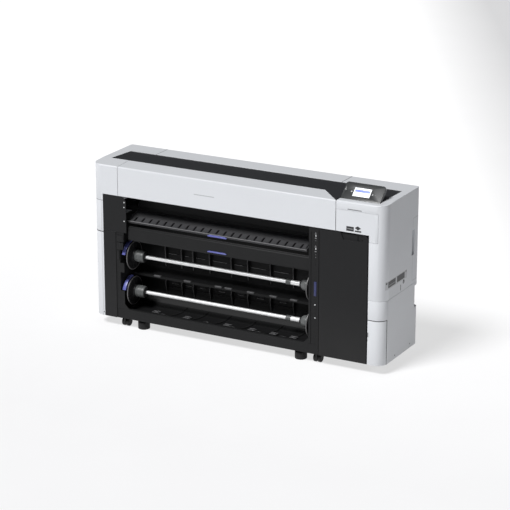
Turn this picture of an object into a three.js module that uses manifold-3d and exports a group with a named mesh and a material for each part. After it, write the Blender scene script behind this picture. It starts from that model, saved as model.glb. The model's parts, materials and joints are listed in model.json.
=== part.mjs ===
// Large format plotter with two roll bays, a tilting control panel and a front loading ink bay.
// Millimetres, +X to the right seen from the front, -Y to the front, +Z up, floor at z = 0.
import * as THREE from "three";
import Module from "manifold-3d";

const wasm = await Module();
wasm.setup();

// ---------------------------------------------------------------- driving dimensions
const WIDTH = 1910; // over both end covers
const DEPTH = 460; // front face to rear face
const BODY_TOP = 1003; // flat top of the printer
const FRONT_EDGE_DROP = 6; // the top falls this much towards the front edge
const SKIRT = 58; // underside of the cabinet above the floor
const CORNER_RADIUS = 60; // upright front corners
const REAR_RADIUS = 25; // upright rear corners
const WALL = 4; // moulded covers
const SHEET = 3; // steel and inner plates
const GAP = 0.5; // clearance between neighbours
const SEAM = 1; // visible joint between covers

const HALF = WIDTH / 2;
const LEFT = -HALF;
const RIGHT = HALF;
const FRONT = -DEPTH / 2;
const REAR = DEPTH / 2;

const BAY_LEFT = LEFT + 183; // inner faces of the side frames
const BAY_RIGHT = RIGHT - 468;
const COVER_LEFT = BAY_LEFT - 6; // front cover, its lower edge and its rear hinge line
const COVER_RIGHT = RIGHT - 305;
const COVER_BOTTOM = 819;
const COVER_HINGE_Y = FRONT + 133;
const STRIP_REAR_Y = REAR - 140; // rear edge of the dark top strip
const DECK_TOP = 722; // print deck
const DECK_HEIGHT = 30;
const DECK_BOTTOM = DECK_TOP - DECK_HEIGHT;
const FRAME_TOP = DECK_BOTTOM - GAP;
const DARK_LEFT = LEFT + 73; // left edge of the dark panels
const DOOR_LEFT = BAY_RIGHT + 63; // ink door
const DOOR_RIGHT = RIGHT - 102;

const ROLL_Y = FRONT + 100; // both roll spindles
const LOWER_ROLL_Z = 211;
const ROLL_PITCH = 221; // from the lower spindle up to the upper one
const UPPER_ROLL_Z = LOWER_ROLL_Z + ROLL_PITCH;
const SPINDLE_RADIUS = 11;
const FLANGE_RADIUS = 87;
const LEVER_RADIUS = 92;

const PANEL_LEFT = COVER_RIGHT + 6; // control panel slab
const PANEL_RIGHT = RIGHT - 57;
const PANEL_PIVOT_Y = FRONT + 55;
const PANEL_PIVOT_Z = BODY_TOP - 9;
const PANEL_THICKNESS = 22;
const PANEL_LENGTH = 108; // pivot to rear edge
const PANEL_TILT = 42; // degrees, as it stands

const WHEEL_RADIUS = 26; // casters
const CASTER_TRAIL = 15;
const FOOT_RADIUS = 36;
const FOOT_Y = FRONT + 55;

// ---------------------------------------------------------------- materials
function paint(color, roughness, metalness) {
  return new THREE.MeshStandardMaterial({ color, roughness, metalness });
}
const WHITE = paint(0xe4e6ea, 0.45, 0);
const CHARCOAL = paint(0x35363a, 0.5, 0);
const FRAME = paint(0x4a4b50, 0.55, 0.3);
const STEEL = paint(0xd8dade, 0.25, 1);
const GREY = paint(0xb9bdc0, 0.5, 0);
const BLUE = paint(0x6f80e0, 0.4, 0);
const GLASS = paint(0xeef3f8, 0.12, 0);
const RUBBER = paint(0x1d1d20, 0.8, 0);

// ---------------------------------------------------------------- solids
// A closed three.js geometry as a manifold solid.
function solid(geometry) {
  const position = geometry.getAttribute("position");
  const keys = new Map();
  const points = [];
  const remap = [];
  for (let i = 0; i < position.count; i++) {
    const p = [position.getX(i), position.getY(i), position.getZ(i)];
    const key = p.map((v) => Math.round(v * 1e4)).join();
    if (!keys.has(key)) {
      keys.set(key, points.length / 3);
      points.push(...p);
    }
    remap.push(keys.get(key));
  }
  const order = geometry.index ? Array.from(geometry.index.array, (i) => remap[i]) : remap;
  const faces = [];
  for (let i = 0; i < order.length; i += 3) {
    const [a, b, c] = order.slice(i, i + 3);
    if (a !== b && b !== c && c !== a) faces.push(a, b, c);
  }
  const vertProperties = new Float32Array(points);
  const triVerts = new Uint32Array(faces);
  return new wasm.Manifold(new wasm.Mesh({ numProp: 3, vertProperties, triVerts }));
}

const join = (...parts) => parts.reduce((a, b) => a.add(b));
const cut = (base, ...tools) => tools.reduce((a, b) => a.subtract(b), base);

function box(x0, x1, y0, y1, z0, z1) {
  const block = new THREE.BoxGeometry(x1 - x0, y1 - y0, z1 - z0);
  block.translate((x0 + x1) / 2, (y0 + y1) / 2, (z0 + z1) / 2);
  return solid(block);
}

// Outline points with round corners: each point is [u, v] or [u, v, radius].
function rounded(points) {
  const out = [];
  points.forEach(([u, v, radius = 0], i) => {
    const here = new THREE.Vector2(u, v);
    if (!radius) {
      out.push(here);
      return;
    }
    const [pu, pv] = points[(i + points.length - 1) % points.length];
    const [nu, nv] = points[(i + 1) % points.length];
    const back = new THREE.Vector2(pu, pv).sub(here).normalize();
    const ahead = new THREE.Vector2(nu, nv).sub(here).normalize();
    const half = Math.acos(THREE.MathUtils.clamp(back.dot(ahead), -1, 1)) / 2;
    const centre = back.clone().add(ahead).normalize().multiplyScalar(radius / Math.sin(half)).add(here);
    const start = back.multiplyScalar(radius / Math.tan(half)).add(here).sub(centre);
    const sweep = Math.PI - 2 * half;
    const turn = start.clone().cross(here.clone().sub(centre)) > 0 ? 1 : -1;
    const steps = radius > 30 ? 7 : 4;
    for (let k = 0; k <= steps; k++) {
      out.push(start.clone().rotateAround(new THREE.Vector2(), (turn * sweep * k) / steps).add(centre));
    }
  });
  return out;
}

function prism(points, depth) {
  const shape = new THREE.Shape(rounded(points));
  return solid(new THREE.ExtrudeGeometry(shape, { depth, bevelEnabled: false, steps: 1, curveSegments: 8 }));
}

// Extrusions of an outline given in the two other axes.
const prismZ = (points, z0, z1) => prism(points, z1 - z0).translate(0, 0, z0);
const prismX = (points, x0, x1) => prism(points, x1 - x0).rotate([90, 0, 90]).translate(x0, 0, 0);
const prismY = (points, y0, y1) => prism(points, y1 - y0).rotate([90, 0, 0]).translate(0, y1, 0);

// A solid of revolution about an axis; the profile holds [radius, position along the axis] pairs.
function turned(profile, segments = 24) {
  return solid(new THREE.LatheGeometry(profile.map(([r, h]) => new THREE.Vector2(r, h)), segments));
}
const turnedX = (profile, y, z, segments) => turned(profile, segments).rotate([0, 0, -90]).translate(0, y, z);
const turnedY = (profile, x, z, segments) => turned(profile, segments).translate(x, 0, z);
const turnedZ = (profile, x, y, segments) => turned(profile, segments).rotate([90, 0, 0]).translate(x, y, 0);
const rod = (r, h0, h1) => [[0, h0], [r, h0], [r, h1], [0, h1]];

// A bent sheet: a line of [y, z] points thickened to one side and run along X.
function bentSheet(points, thickness, x0, x1) {
  const line = points.map(([y, z]) => new THREE.Vector2(y, z));
  const offset = line.map((p, i) => {
    const before = i ? p.clone().sub(line[i - 1]).normalize() : line[1].clone().sub(p).normalize();
    const after = i < line.length - 1 ? line[i + 1].clone().sub(p).normalize() : before;
    const mean = before.clone().add(after).normalize();
    const normal = new THREE.Vector2(mean.y, -mean.x);
    return normal.multiplyScalar(thickness / mean.dot(after)).add(p);
  });
  const outline = [...line, ...offset.reverse()].map((p) => [p.x, p.y]);
  return prismX(outline, x0, x1);
}

const root = new THREE.Group();
root.name = "plotter";

function node(name, body, material) {
  const mesh = body.getMesh();
  const geometry = new THREE.BufferGeometry();
  geometry.setAttribute("position", new THREE.BufferAttribute(new Float32Array(mesh.vertProperties), 3));
  geometry.setIndex(new THREE.BufferAttribute(new Uint32Array(mesh.triVerts), 1));
  geometry.computeVertexNormals();
  const made = new THREE.Mesh(geometry, material);
  made.name = name;
  root.add(made);
}

// ---------------------------------------------------------------- shared outlines
// Side view of the printer's outer skin, and the same pulled in by the wall.
function skin(inset, low) {
  const radius = 9 - inset / 2;
  return prismX([
    [FRONT + inset, low],
    [REAR - inset, low],
    [REAR - inset, BODY_TOP - inset, radius],
    [COVER_HINGE_Y, BODY_TOP - inset],
    [FRONT + inset, BODY_TOP - FRONT_EDGE_DROP - inset, radius],
  ], LEFT - 10, RIGHT + 10);
}

// Plan of the dark strip on top, grown by a margin.
function stripPlan(margin) {
  const diagonal = COVER_RIGHT + 1.5 + FRONT - COVER_HINGE_Y; // where the slanted edge meets the hinge line
  return [
    [LEFT + 56 - margin, COVER_HINGE_Y + SEAM - margin],
    [diagonal - margin, COVER_HINGE_Y + SEAM - margin],
    [COVER_RIGHT - 2.5 - margin, FRONT + 5 - margin],
    [PANEL_LEFT - 3.5 + margin, FRONT + 5 - margin],
    [PANEL_LEFT - 3.5 + margin, PANEL_PIVOT_Y + PANEL_LENGTH + 5 - margin],
    [PANEL_RIGHT + 5 + margin, PANEL_PIVOT_Y + PANEL_LENGTH + 5 - margin],
    [PANEL_RIGHT + 10 + margin, STRIP_REAR_Y + margin],
    [LEFT + 79 - margin, STRIP_REAR_Y + margin],
  ];
}
const stripPocket = prismZ(stripPlan(GAP), BODY_TOP - 8, BODY_TOP + 20);

// A moulded shell over a plan, open below and wherever the inner plan runs past the outer one.
function shell(outer, inner, z0, z1) {
  const outside = prismZ(outer, z0, z1).intersect(skin(0, 0));
  const inside = prismZ(inner, z0 - 20, z1).intersect(skin(WALL, -50));
  return outside.subtract(inside);
}

// ---------------------------------------------------------------- steel structure
const BEAM_TOP = SKIRT + 60;
const FRAME_REAR = REAR - 25;
const FRONT_BEAM = [FRONT + 5, FRONT + 80];
const REAR_BEAM = [FRAME_REAR - 75, FRAME_REAR];
const beamNotches = join(
  box(LEFT, RIGHT, FRONT_BEAM[0] - 10, FRONT_BEAM[1] + GAP, 0, BEAM_TOP + GAP),
  box(LEFT, RIGHT, REAR_BEAM[0] - GAP, REAR_BEAM[1] + 10, 0, BEAM_TOP + GAP),
);
const spindleHoles = join(
  ...[UPPER_ROLL_Z, LOWER_ROLL_Z].map((z) => turnedX(rod(SPINDLE_RADIUS + GAP, LEFT, RIGHT), ROLL_Y, z)),
);
const FLANGE_FACE = FRONT + 4; // front flanges stand just behind the front face
const FOLD = 25; // outward flanges of the side frames
const LEFT_POST = BAY_LEFT + 27; // inner edge of the folded front post
const postSheet = (x1, z0, z1) => box(BAY_LEFT - FOLD, x1, FLANGE_FACE, FLANGE_FACE + SHEET, z0, z1);
node("left_side_frame", cut(
  join(
    box(BAY_LEFT - SHEET, BAY_LEFT, FLANGE_FACE, FRAME_REAR, SKIRT, FRAME_TOP),
    postSheet(BAY_LEFT, SKIRT, FRAME_TOP),
    box(BAY_LEFT - FOLD, BAY_LEFT, FRAME_REAR - SHEET, FRAME_REAR, SKIRT, FRAME_TOP),
    postSheet(LEFT_POST, BEAM_TOP + 1, LOWER_ROLL_Z + 22),
    postSheet(LEFT_POST, UPPER_ROLL_Z - 85, UPPER_ROLL_Z - 27),
    postSheet(LEFT_POST, UPPER_ROLL_Z + 104, FRAME_TOP),
  ),
  beamNotches,
  spindleHoles,
), FRAME);

const INK_SHELF = 524; // top of the shelf under the ink rack
node("right_side_frame", cut(
  join(
    box(BAY_RIGHT, BAY_RIGHT + SHEET, FLANGE_FACE, FRAME_REAR, SKIRT, FRAME_TOP),
    box(BAY_RIGHT - 6, DOOR_LEFT - 2, FLANGE_FACE, FLANGE_FACE + SHEET, SKIRT, COVER_BOTTOM - 4),
    box(BAY_RIGHT, BAY_RIGHT + FOLD, FRAME_REAR - SHEET, FRAME_REAR, SKIRT, FRAME_TOP),
    box(BAY_RIGHT, DOOR_RIGHT - 3, FRONT + 40, REAR - 130, INK_SHELF - SHEET, INK_SHELF),
    box(BAY_RIGHT, RIGHT - 20, FRONT_BEAM[1] + 5, REAR_BEAM[0] - 5, SKIRT, SKIRT + SHEET), // cabinet floor
  ),
  beamNotches,
  spindleHoles,
), FRAME);

const FOOT_X = [BAY_LEFT + 127, BAY_RIGHT - 77];
const STEM_RADIUS = 10;
const beamEnds = [BAY_LEFT - FOLD, DOOR_LEFT - 2];
node("front_base_beam", cut(
  join(
    box(...beamEnds, FRONT_BEAM[0], FRONT_BEAM[0] + SHEET, SKIRT, BEAM_TOP),
    box(...beamEnds, ...FRONT_BEAM, SKIRT, SKIRT + SHEET),
    box(...beamEnds, FRONT_BEAM[0], FRONT_BEAM[0] + 20, BEAM_TOP - SHEET, BEAM_TOP),
  ),
  ...FOOT_X.map((x) => turnedZ(rod(STEM_RADIUS + GAP, 0, BEAM_TOP), x, FOOT_Y)),
), FRAME);
node("rear_base_beam", join(
  box(...beamEnds, REAR_BEAM[1] - SHEET, REAR_BEAM[1], SKIRT, BEAM_TOP),
  box(...beamEnds, ...REAR_BEAM, SKIRT, SKIRT + SHEET),
  box(...beamEnds, REAR_BEAM[1] - 20, REAR_BEAM[1], BEAM_TOP - SHEET, BEAM_TOP),
), FRAME);

// ---------------------------------------------------------------- print engine
const FEED = { y: REAR - 125, z: DECK_TOP + 17, radius: 14, journal: 6 };
const DECK_X = [LEFT + 75, RIGHT - 105];
const DECK_Y = [FRONT + 150, FRAME_REAR];
// Lugs that carry the feed roller's journals.
const EAR = { thickness: 6, left: BAY_LEFT - 14, right: BAY_RIGHT + 2 };
const deckEars = [EAR.left, EAR.right].map((x) => {
  return box(x, x + EAR.thickness, FEED.y - 12, FEED.y + 12, DECK_TOP - 2, FEED.z + 11);
});
node("engine_deck", cut(
  join(box(...DECK_X, ...DECK_Y, DECK_BOTTOM, DECK_TOP), ...deckEars),
  box(
    DECK_X[0] + WALL, DECK_X[1] - WALL, DECK_Y[0] + WALL, DECK_Y[1] - WALL, DECK_BOTTOM - 1, DECK_TOP - WALL,
  ),
  turnedX(rod(FEED.journal + GAP, LEFT, RIGHT), FEED.y, FEED.z, 24),
), FRAME);
const journalEnds = [EAR.left - 4, EAR.right + EAR.thickness + 5];
const rollerEnds = [BAY_LEFT + 2, BAY_RIGHT - 7];
node("feed_roller", turnedX([
  [0, journalEnds[0]], [FEED.journal, journalEnds[0]], [FEED.journal, rollerEnds[0]],
  [FEED.radius, rollerEnds[0]], [FEED.radius, rollerEnds[1]], [FEED.journal, rollerEnds[1]],
  [FEED.journal, journalEnds[1]], [0, journalEnds[1]],
], FEED.y, FEED.z, 24), RUBBER);

const RAIL = { y0: REAR - 210, y1: REAR - 170, z0: DECK_TOP + 128, z1: DECK_TOP + 178 };
const RAIL_X = [BAY_LEFT + 2, RIGHT - 115];
const PULLEY = { radius: 14, shaft: 4, x: RAIL_X[1] - 25, z: RAIL.z1 - 22 };
Object.assign(PULLEY, { y0: RAIL.y1 + 6, y1: RAIL.y1 + 16 });
const IDLER_X = RAIL_X[0] + 35;
node("carriage_rail", cut(
  join(
    box(...RAIL_X, RAIL.y0, RAIL.y1, RAIL.z0, RAIL.z1),
    box(RAIL_X[0], RAIL_X[0] + 18, RAIL.y0, RAIL.y1, DECK_TOP + GAP, RAIL.z0 + 5),
    box(RAIL_X[1] - 18, RAIL_X[1], RAIL.y0, RAIL.y1, DECK_TOP + GAP, RAIL.z0 + 5),
    turnedY(rod(PULLEY.radius, RAIL.y1 - 2, PULLEY.y1), IDLER_X, PULLEY.z, 24),
  ),
  box(RAIL_X[0] + 60, RAIL_X[1] - 50, RAIL.y0 + 6, RAIL.y1 - 6, RAIL.z0 - 1, RAIL.z1 - 6),
  turnedY(rod(PULLEY.shaft + GAP, RAIL.y0 + 10, RAIL.y1 + 5), PULLEY.x, PULLEY.z, 16),
), STEEL);
node("motor_pulley", turnedY([
  [0, RAIL.y0 + 14], [PULLEY.shaft, RAIL.y0 + 14], [PULLEY.shaft, PULLEY.y0 - 2],
  [PULLEY.radius + 2.5, PULLEY.y0 - 2],
  [PULLEY.radius + 2.5, PULLEY.y0 - 0.5], [PULLEY.radius, PULLEY.y0 - 0.5],
  [PULLEY.radius, PULLEY.y1 + 1], [0, PULLEY.y1 + 1],
], PULLEY.x, PULLEY.z, 24), STEEL);
function beltLoop(radius, y0, y1) {
  const ends = [IDLER_X, PULLEY.x].map((x) => turnedY(rod(radius, y0, y1), x, PULLEY.z, 24));
  return join(...ends, box(IDLER_X, PULLEY.x, y0, y1, PULLEY.z - radius, PULLEY.z + radius));
}
node("drive_belt", beltLoop(PULLEY.radius + 2, PULLEY.y0, PULLEY.y1)
  .subtract(beltLoop(PULLEY.radius + 0.5, PULLEY.y0 - 1, PULLEY.y1 + 1)), RUBBER);

const PARKED = [BAY_RIGHT + 103, BAY_RIGHT + 253]; // carriage over the capping station
const CARRIAGE_FRONT = RAIL.y0 - 90;
const CARRIAGE_LOW = DECK_TOP + 19;
node("print_carriage", prismX([
  [CARRIAGE_FRONT, CARRIAGE_LOW], [RAIL.y0 - 3, CARRIAGE_LOW],
  [RAIL.y0 - 3, RAIL.z1 + 3], [RAIL.y1, RAIL.z1 + 3], [RAIL.y1, RAIL.z1 + 22],
  [CARRIAGE_FRONT + 40, RAIL.z1 + 22, 8], [CARRIAGE_FRONT, RAIL.z1 - 20, 8],
], ...PARKED), CHARCOAL);
const CAPS = { count: 3, pitch: 45, width: 36, y0: CARRIAGE_FRONT + 12, y1: RAIL.y0 - 16, rim: 3 };
function inkCap(i) {
  const { width, y0, y1, rim } = CAPS;
  const x = PARKED[0] + 12 + i * CAPS.pitch;
  const well = box(x + rim, x + width - rim, y0 + rim, y1 - rim, DECK_TOP + 12, DECK_TOP + 20);
  return box(x, x + width, y0, y1, DECK_TOP + 9, DECK_TOP + 16).subtract(well);
}
node("capping_station", join(
  box(...PARKED, CARRIAGE_FRONT + 2, RAIL.y0 - 6, DECK_TOP + GAP, DECK_TOP + 10),
  ...Array.from({ length: CAPS.count }, (_, i) => inkCap(i)),
), GREY);

// ---------------------------------------------------------------- white covers
const FRONT_COVER_PLAN = [
  [COVER_LEFT, FRONT], [COVER_RIGHT - GAP, FRONT],
  [COVER_RIGHT - GAP + FRONT - COVER_HINGE_Y, COVER_HINGE_Y], [COVER_LEFT, COVER_HINGE_Y],
];
const diagonalInset = WALL * (1 + Math.SQRT2);
const FRONT_COVER_INNER = [
  [COVER_LEFT + WALL, FRONT + WALL], [COVER_RIGHT - GAP - diagonalInset, FRONT + WALL],
  [COVER_RIGHT - GAP - diagonalInset + FRONT + WALL - COVER_HINGE_Y - 7, COVER_HINGE_Y + 7],
  [COVER_LEFT + WALL, COVER_HINGE_Y + 7],
];
const SWING_LEFT = BAY_LEFT + 50; // parts that swing out of the bay stay right of the left upper panel
node("front_cover", shell(FRONT_COVER_PLAN, FRONT_COVER_INNER, COVER_BOTTOM, BODY_TOP + 10), WHITE);
node("cover_inner_plate", bentSheet([
  [COVER_HINGE_Y - 1, DECK_TOP - 9], [COVER_HINGE_Y + 6, DECK_TOP + 6], [COVER_HINGE_Y + 11, DECK_TOP + 38],
  [COVER_HINGE_Y + 13, BODY_TOP - 43], [COVER_HINGE_Y - 3, BODY_TOP - 10],
], SHEET, SWING_LEFT, BAY_RIGHT - 9), CHARCOAL);

const LEFT_SEAMS = [584, 779];
const LEFT_EDGE = BAY_LEFT - 25 - GAP; // inner edge of the left columns
function leftPlan(inset, right) {
  return [
    [LEFT + inset, FRONT + inset, CORNER_RADIUS - inset], [right, FRONT + inset],
    [right, REAR - inset], [LEFT + inset, REAR - inset, REAR_RADIUS - inset],
  ];
}
function leftColumn(z0, z1) {
  const wrap = shell(leftPlan(0, LEFT_EDGE), leftPlan(WALL, LEFT_EDGE + 20), z0, z1);
  return wrap.subtract(box(DARK_LEFT - SEAM, LEFT_EDGE + 30, FRONT - 5, FRONT + 30, z0 - 5, z1 + 5));
}

// A recess for the fingers in a side wall: liner is added to the cover, hollow is taken out of it.
const GRIP = { y0: REAR - 98, y1: REAR - 65, z0: 616, z1: 766, depth: 28 };
function gripRecess(side) {
  const at = (depth, grow) => {
    const xs = [side * (HALF + 1 - grow), side * (HALF - depth - grow)].sort((a, b) => a - b);
    return box(...xs, GRIP.y0 - grow, GRIP.y1 + grow, GRIP.z0 - grow, GRIP.z1 + grow);
  };
  return { liner: at(GRIP.depth, SHEET), hollow: at(GRIP.depth, 0) };
}
const leftGrip = gripRecess(-1);
const rightGrip = gripRecess(1);

node("left_column_lower", leftColumn(SKIRT, LEFT_SEAMS[0] - SEAM / 2), WHITE);
node("left_column_middle", cut(
  join(leftColumn(LEFT_SEAMS[0] + SEAM / 2, LEFT_SEAMS[1] - SEAM / 2), leftGrip.liner),
  leftGrip.hollow,
), WHITE);
const LEFT_TOP_REAR = BAY_LEFT + 69; // where the left end cover meets the rear top cover
function leftEndPlan(inset, extra) {
  const stepY = STRIP_REAR_Y - 5 + extra;
  const stepX = LEFT_TOP_REAR - SEAM + extra * 2;
  return [
    [LEFT + inset, FRONT + inset, CORNER_RADIUS - inset], [COVER_LEFT - SEAM - inset, FRONT + inset],
    [COVER_LEFT - SEAM - inset, stepY], [stepX, stepY],
    [stepX, REAR - inset], [LEFT + inset, REAR - inset, REAR_RADIUS - inset],
  ];
}
node("left_end_cover", cut(
  shell(leftEndPlan(0, 0), leftEndPlan(WALL, WALL), LEFT_SEAMS[1] + SEAM / 2, BODY_TOP + 10),
  box(DARK_LEFT - SEAM, COVER_LEFT + 10, FRONT - 5, FRONT + 25, 700, COVER_BOTTOM),
  stripPocket,
), WHITE);

const RIGHT_TOP_REAR = BAY_RIGHT + 43;
const RIGHT_SEAMS = [323, 439];
const COLUMN_LEFT = DOOR_RIGHT + 3;
const PANEL_TOP_SEAM = 946;
const FRONT_PANEL_RIGHT = RIGHT - 45;
function rightPlan(inset, left) {
  return [
    [left, FRONT + inset], [RIGHT - inset, FRONT + inset, CORNER_RADIUS - inset],
    [RIGHT - inset, REAR - inset, REAR_RADIUS - inset], [left, REAR - inset],
  ];
}
const rightEndOuter = [
  [COVER_RIGHT + SEAM, FRONT], [RIGHT, FRONT, CORNER_RADIUS], [RIGHT, REAR, REAR_RADIUS],
  [RIGHT_TOP_REAR + SEAM, REAR], [RIGHT_TOP_REAR + SEAM, STRIP_REAR_Y - 5],
  [COVER_RIGHT + SEAM, STRIP_REAR_Y - 5],
];
// The tray the control panel folds down into.
const TRAY_X = [PANEL_LEFT - 3, PANEL_RIGHT + 3];
const TRAY_Y = [PANEL_PIVOT_Y - 12, PANEL_PIVOT_Y + PANEL_LENGTH + 3];
const TRAY_FLOOR = PANEL_PIVOT_Z - 20;
const trayHollow = box(...TRAY_X, ...TRAY_Y, TRAY_FLOOR, BODY_TOP + 20);
const trayLiner = box(
  COVER_RIGHT + SEAM, TRAY_X[1] + SHEET, TRAY_Y[0] - SHEET, TRAY_Y[1] + SHEET, TRAY_FLOOR - SHEET, BODY_TOP,
).intersect(skin(0, 0));
node("right_end_cover", cut(
  join(
    shell(rightEndOuter, rightPlan(WALL, RIGHT_TOP_REAR - 20), RIGHT_SEAMS[1] + SEAM, BODY_TOP + 10),
    trayLiner,
    rightGrip.liner,
  ),
  stripPocket,
  trayHollow,
  rightGrip.hollow,
  box(DOOR_LEFT, COLUMN_LEFT, FRONT - 5, FRONT + 25, RIGHT_SEAMS[1] - 5, COVER_BOTTOM),
  box(DOOR_LEFT, FRONT_PANEL_RIGHT + SEAM, FRONT - 5, FRONT + 25, LEFT_SEAMS[1], PANEL_TOP_SEAM + SEAM),
), WHITE);
node("right_front_panel", prismY([
  [COVER_RIGHT + SEAM, COVER_BOTTOM + GAP], [COLUMN_LEFT, COVER_BOTTOM + GAP],
  [COLUMN_LEFT, LEFT_SEAMS[1] + SEAM], [FRONT_PANEL_RIGHT, LEFT_SEAMS[1] + SEAM],
  [FRONT_PANEL_RIGHT, PANEL_TOP_SEAM], [COVER_RIGHT + SEAM, PANEL_TOP_SEAM],
], FRONT, FRONT + WALL).intersect(prismZ(rightPlan(0, 0), 0, BODY_TOP)), WHITE);

const NOTCH = { x: RIGHT - 50, y: REAR - 45, z0: 290, z1: 420 }; // cable notch in the rear right corner
function notchAt(grow) {
  const past = 5 - 2 * grow; // the hollow runs out past both faces
  return box(
    NOTCH.x - grow, RIGHT + past, NOTCH.y - grow, REAR + past, NOTCH.z0 - grow, NOTCH.z1 + grow,
  );
}
const SERVICE_Y = FRONT + 48; // hinge line of the corner cover
node("right_column_cover", cut(
  join(
    shell(rightPlan(0, RIGHT_TOP_REAR + SEAM), rightPlan(WALL, RIGHT_TOP_REAR - 20), SKIRT, RIGHT_SEAMS[1]),
    notchAt(SHEET).intersect(prismZ(rightPlan(0, 0), SKIRT, RIGHT_SEAMS[1])),
  ),
  notchAt(0),
  box(BAY_RIGHT, COLUMN_LEFT, FRONT - 5, FRONT + 25, 0, RIGHT_SEAMS[1] + 5),
  box(COLUMN_LEFT - 5, RIGHT + 5, FRONT - 5, SERVICE_Y + SEAM, 0, RIGHT_SEAMS[0] + SEAM),
), WHITE);
node("maintenance_cover", cut(
  prismZ(rightPlan(0, COLUMN_LEFT), SKIRT, RIGHT_SEAMS[0]),
  prismZ(rightPlan(WALL, COLUMN_LEFT - 10), SKIRT - 5, RIGHT_SEAMS[0] - WALL),
  box(COLUMN_LEFT - 5, RIGHT + 5, SERVICE_Y, REAR + 5, 0, 400),
  turnedY(rod(7, FRONT - 5, FRONT + 2), COLUMN_LEFT, 200, 24),
), WHITE);

const REAR_TOP_LOW = 940; // lower edge of the rear top cover
const planBetween = (x0, x1, y0, y1) => [[x0, y0], [x1, y0], [x1, y1], [x0, y1]];
node("rear_top_cover", cut(
  shell(
    planBetween(LEFT_TOP_REAR, RIGHT_TOP_REAR, STRIP_REAR_Y + SEAM, REAR),
    planBetween(LEFT_TOP_REAR - 5, RIGHT_TOP_REAR + 5, STRIP_REAR_Y - 40, REAR - WALL),
    REAR_TOP_LOW,
    BODY_TOP + 10,
  ),
  stripPocket,
), WHITE);

const INLET = { x: BAY_RIGHT - 67, z: 180, width: 28, height: 20 };
function inletBlock(inset, y0, y1) {
  const { x, z, width, height } = INLET;
  return box(x + inset, x + width - inset, y0, y1, z + inset, z + height - inset);
}
node("rear_cover", cut(
  prismY([
    [LEFT_EDGE + SEAM, SKIRT + 4], [RIGHT_TOP_REAR, SKIRT + 4],
    [RIGHT_TOP_REAR, REAR_TOP_LOW - SEAM], [LEFT_TOP_REAR, REAR_TOP_LOW - SEAM],
    [LEFT_TOP_REAR, LEFT_SEAMS[1] - SEAM], [LEFT_EDGE + SEAM, LEFT_SEAMS[1] - SEAM],
  ], REAR - WALL, REAR - GAP),
  inletBlock(0, REAR - 10, REAR + 5),
), FRAME);
node("power_inlet", join(
  inletBlock(GAP, REAR - 24, REAR - 1).subtract(inletBlock(SHEET, REAR - 20, REAR + 5)),
  ...[-7, 0, 7].map((shift) => {
    const x = INLET.x + INLET.width / 2 + shift;
    const z = INLET.z + INLET.height / 2 + (shift ? 2 : -2);
    return box(x - 1, x + 1, REAR - 22, REAR - 6, z - 2.5, z + 2.5);
  }),
), RUBBER);

node("top_window", prismZ(stripPlan(0), BODY_TOP - 7, BODY_TOP - 2), CHARCOAL);

// ---------------------------------------------------------------- dark panels, ink bay
const DARK_SPLIT = LEFT_SEAMS[0] + 12; // joint between the two dark panels
const DARK_RIGHT = SWING_LEFT - 2;
const CHAMFER = 24;
node("left_upper_panel", prismY([
  [DARK_LEFT, DARK_SPLIT], [DARK_RIGHT, DARK_SPLIT], [DARK_RIGHT, COVER_BOTTOM - 2 - CHAMFER],
  [DARK_RIGHT - CHAMFER, COVER_BOTTOM - 2], [DARK_LEFT, COVER_BOTTOM - 2, 10],
], FRONT, FRONT + SHEET + GAP), CHARCOAL);
node("left_lower_panel", box(
  DARK_LEFT, LEFT_EDGE - SEAM, FRONT, FRONT + SHEET, SKIRT, DARK_SPLIT - SEAM,
), CHARCOAL);

const DOOR_THICKNESS = 16;
const DOOR_TOP = COVER_BOTTOM - 2;
const doorOutline = (inset) => [
  [DOOR_LEFT + inset, SKIRT + inset], [DOOR_RIGHT - inset, SKIRT + inset],
  [DOOR_RIGHT - inset, DOOR_TOP - inset, 30 - inset], [DOOR_LEFT + inset, DOOR_TOP - inset],
];
const PULL_LOW = DOOR_TOP - 45; // lower edge of the finger recess
const doorPull = [
  [DOOR_LEFT + 126, DOOR_TOP + 5], [DOOR_LEFT + 148, PULL_LOW], [DOOR_RIGHT - 53, PULL_LOW, 12],
  [DOOR_RIGHT - 30, DOOR_TOP - 5], [DOOR_RIGHT - 30, DOOR_TOP + 5],
];
node("ink_door", cut(
  join(
    prismY(doorOutline(0), FRONT, FRONT + DOOR_THICKNESS)
      .subtract(prismY(doorOutline(WALL), FRONT + WALL, FRONT + DOOR_THICKNESS + 1)),
    box(DOOR_LEFT + 122, DOOR_RIGHT - 24, FRONT + 1, FRONT + DOOR_THICKNESS - 1, PULL_LOW - 8, DOOR_TOP - 2),
  ),
  prismY(doorPull, FRONT - 1, FRONT + 10),
), CHARCOAL);

const INK = { count: 6, width: 42, height: 150, wall: 4 };
Object.assign(INK, { x0: DOOR_LEFT + 10, y0: FRONT + 35, y1: REAR - 140, z0: INK_SHELF + 1 });
const inkPitch = INK.width + 2 * GAP + INK.wall;
const inkSlot = (i) => INK.x0 + INK.wall + i * inkPitch;
const inkSlots = Array.from({ length: INK.count }, (_, i) => inkSlot(i));
const slotFloor = INK.z0 + INK.wall;
const slotRoof = slotFloor + INK.height + 2 * GAP;
node("ink_rack", cut(
  box(INK.x0, inkSlot(INK.count), INK.y0, INK.y1, INK.z0, slotRoof + INK.wall),
  ...inkSlots.map((x) => {
    return box(x, x + INK.width + 2 * GAP, INK.y0 - 1, INK.y1 - INK.wall, slotFloor, slotRoof);
  }),
), CHARCOAL);
inkSlots.forEach((x, i) => {
  const z = slotFloor + GAP;
  const body = box(x + GAP, x + GAP + INK.width, INK.y0 - 8, INK.y1 - INK.wall - GAP, z, z + INK.height);
  const grip = box(x + GAP + 6, x + INK.width - 6, INK.y0 - 9, INK.y0, z + 20, z + 60);
  node(`ink_cartridge_${i + 1}`, body.subtract(grip), GREY);
});
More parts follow.
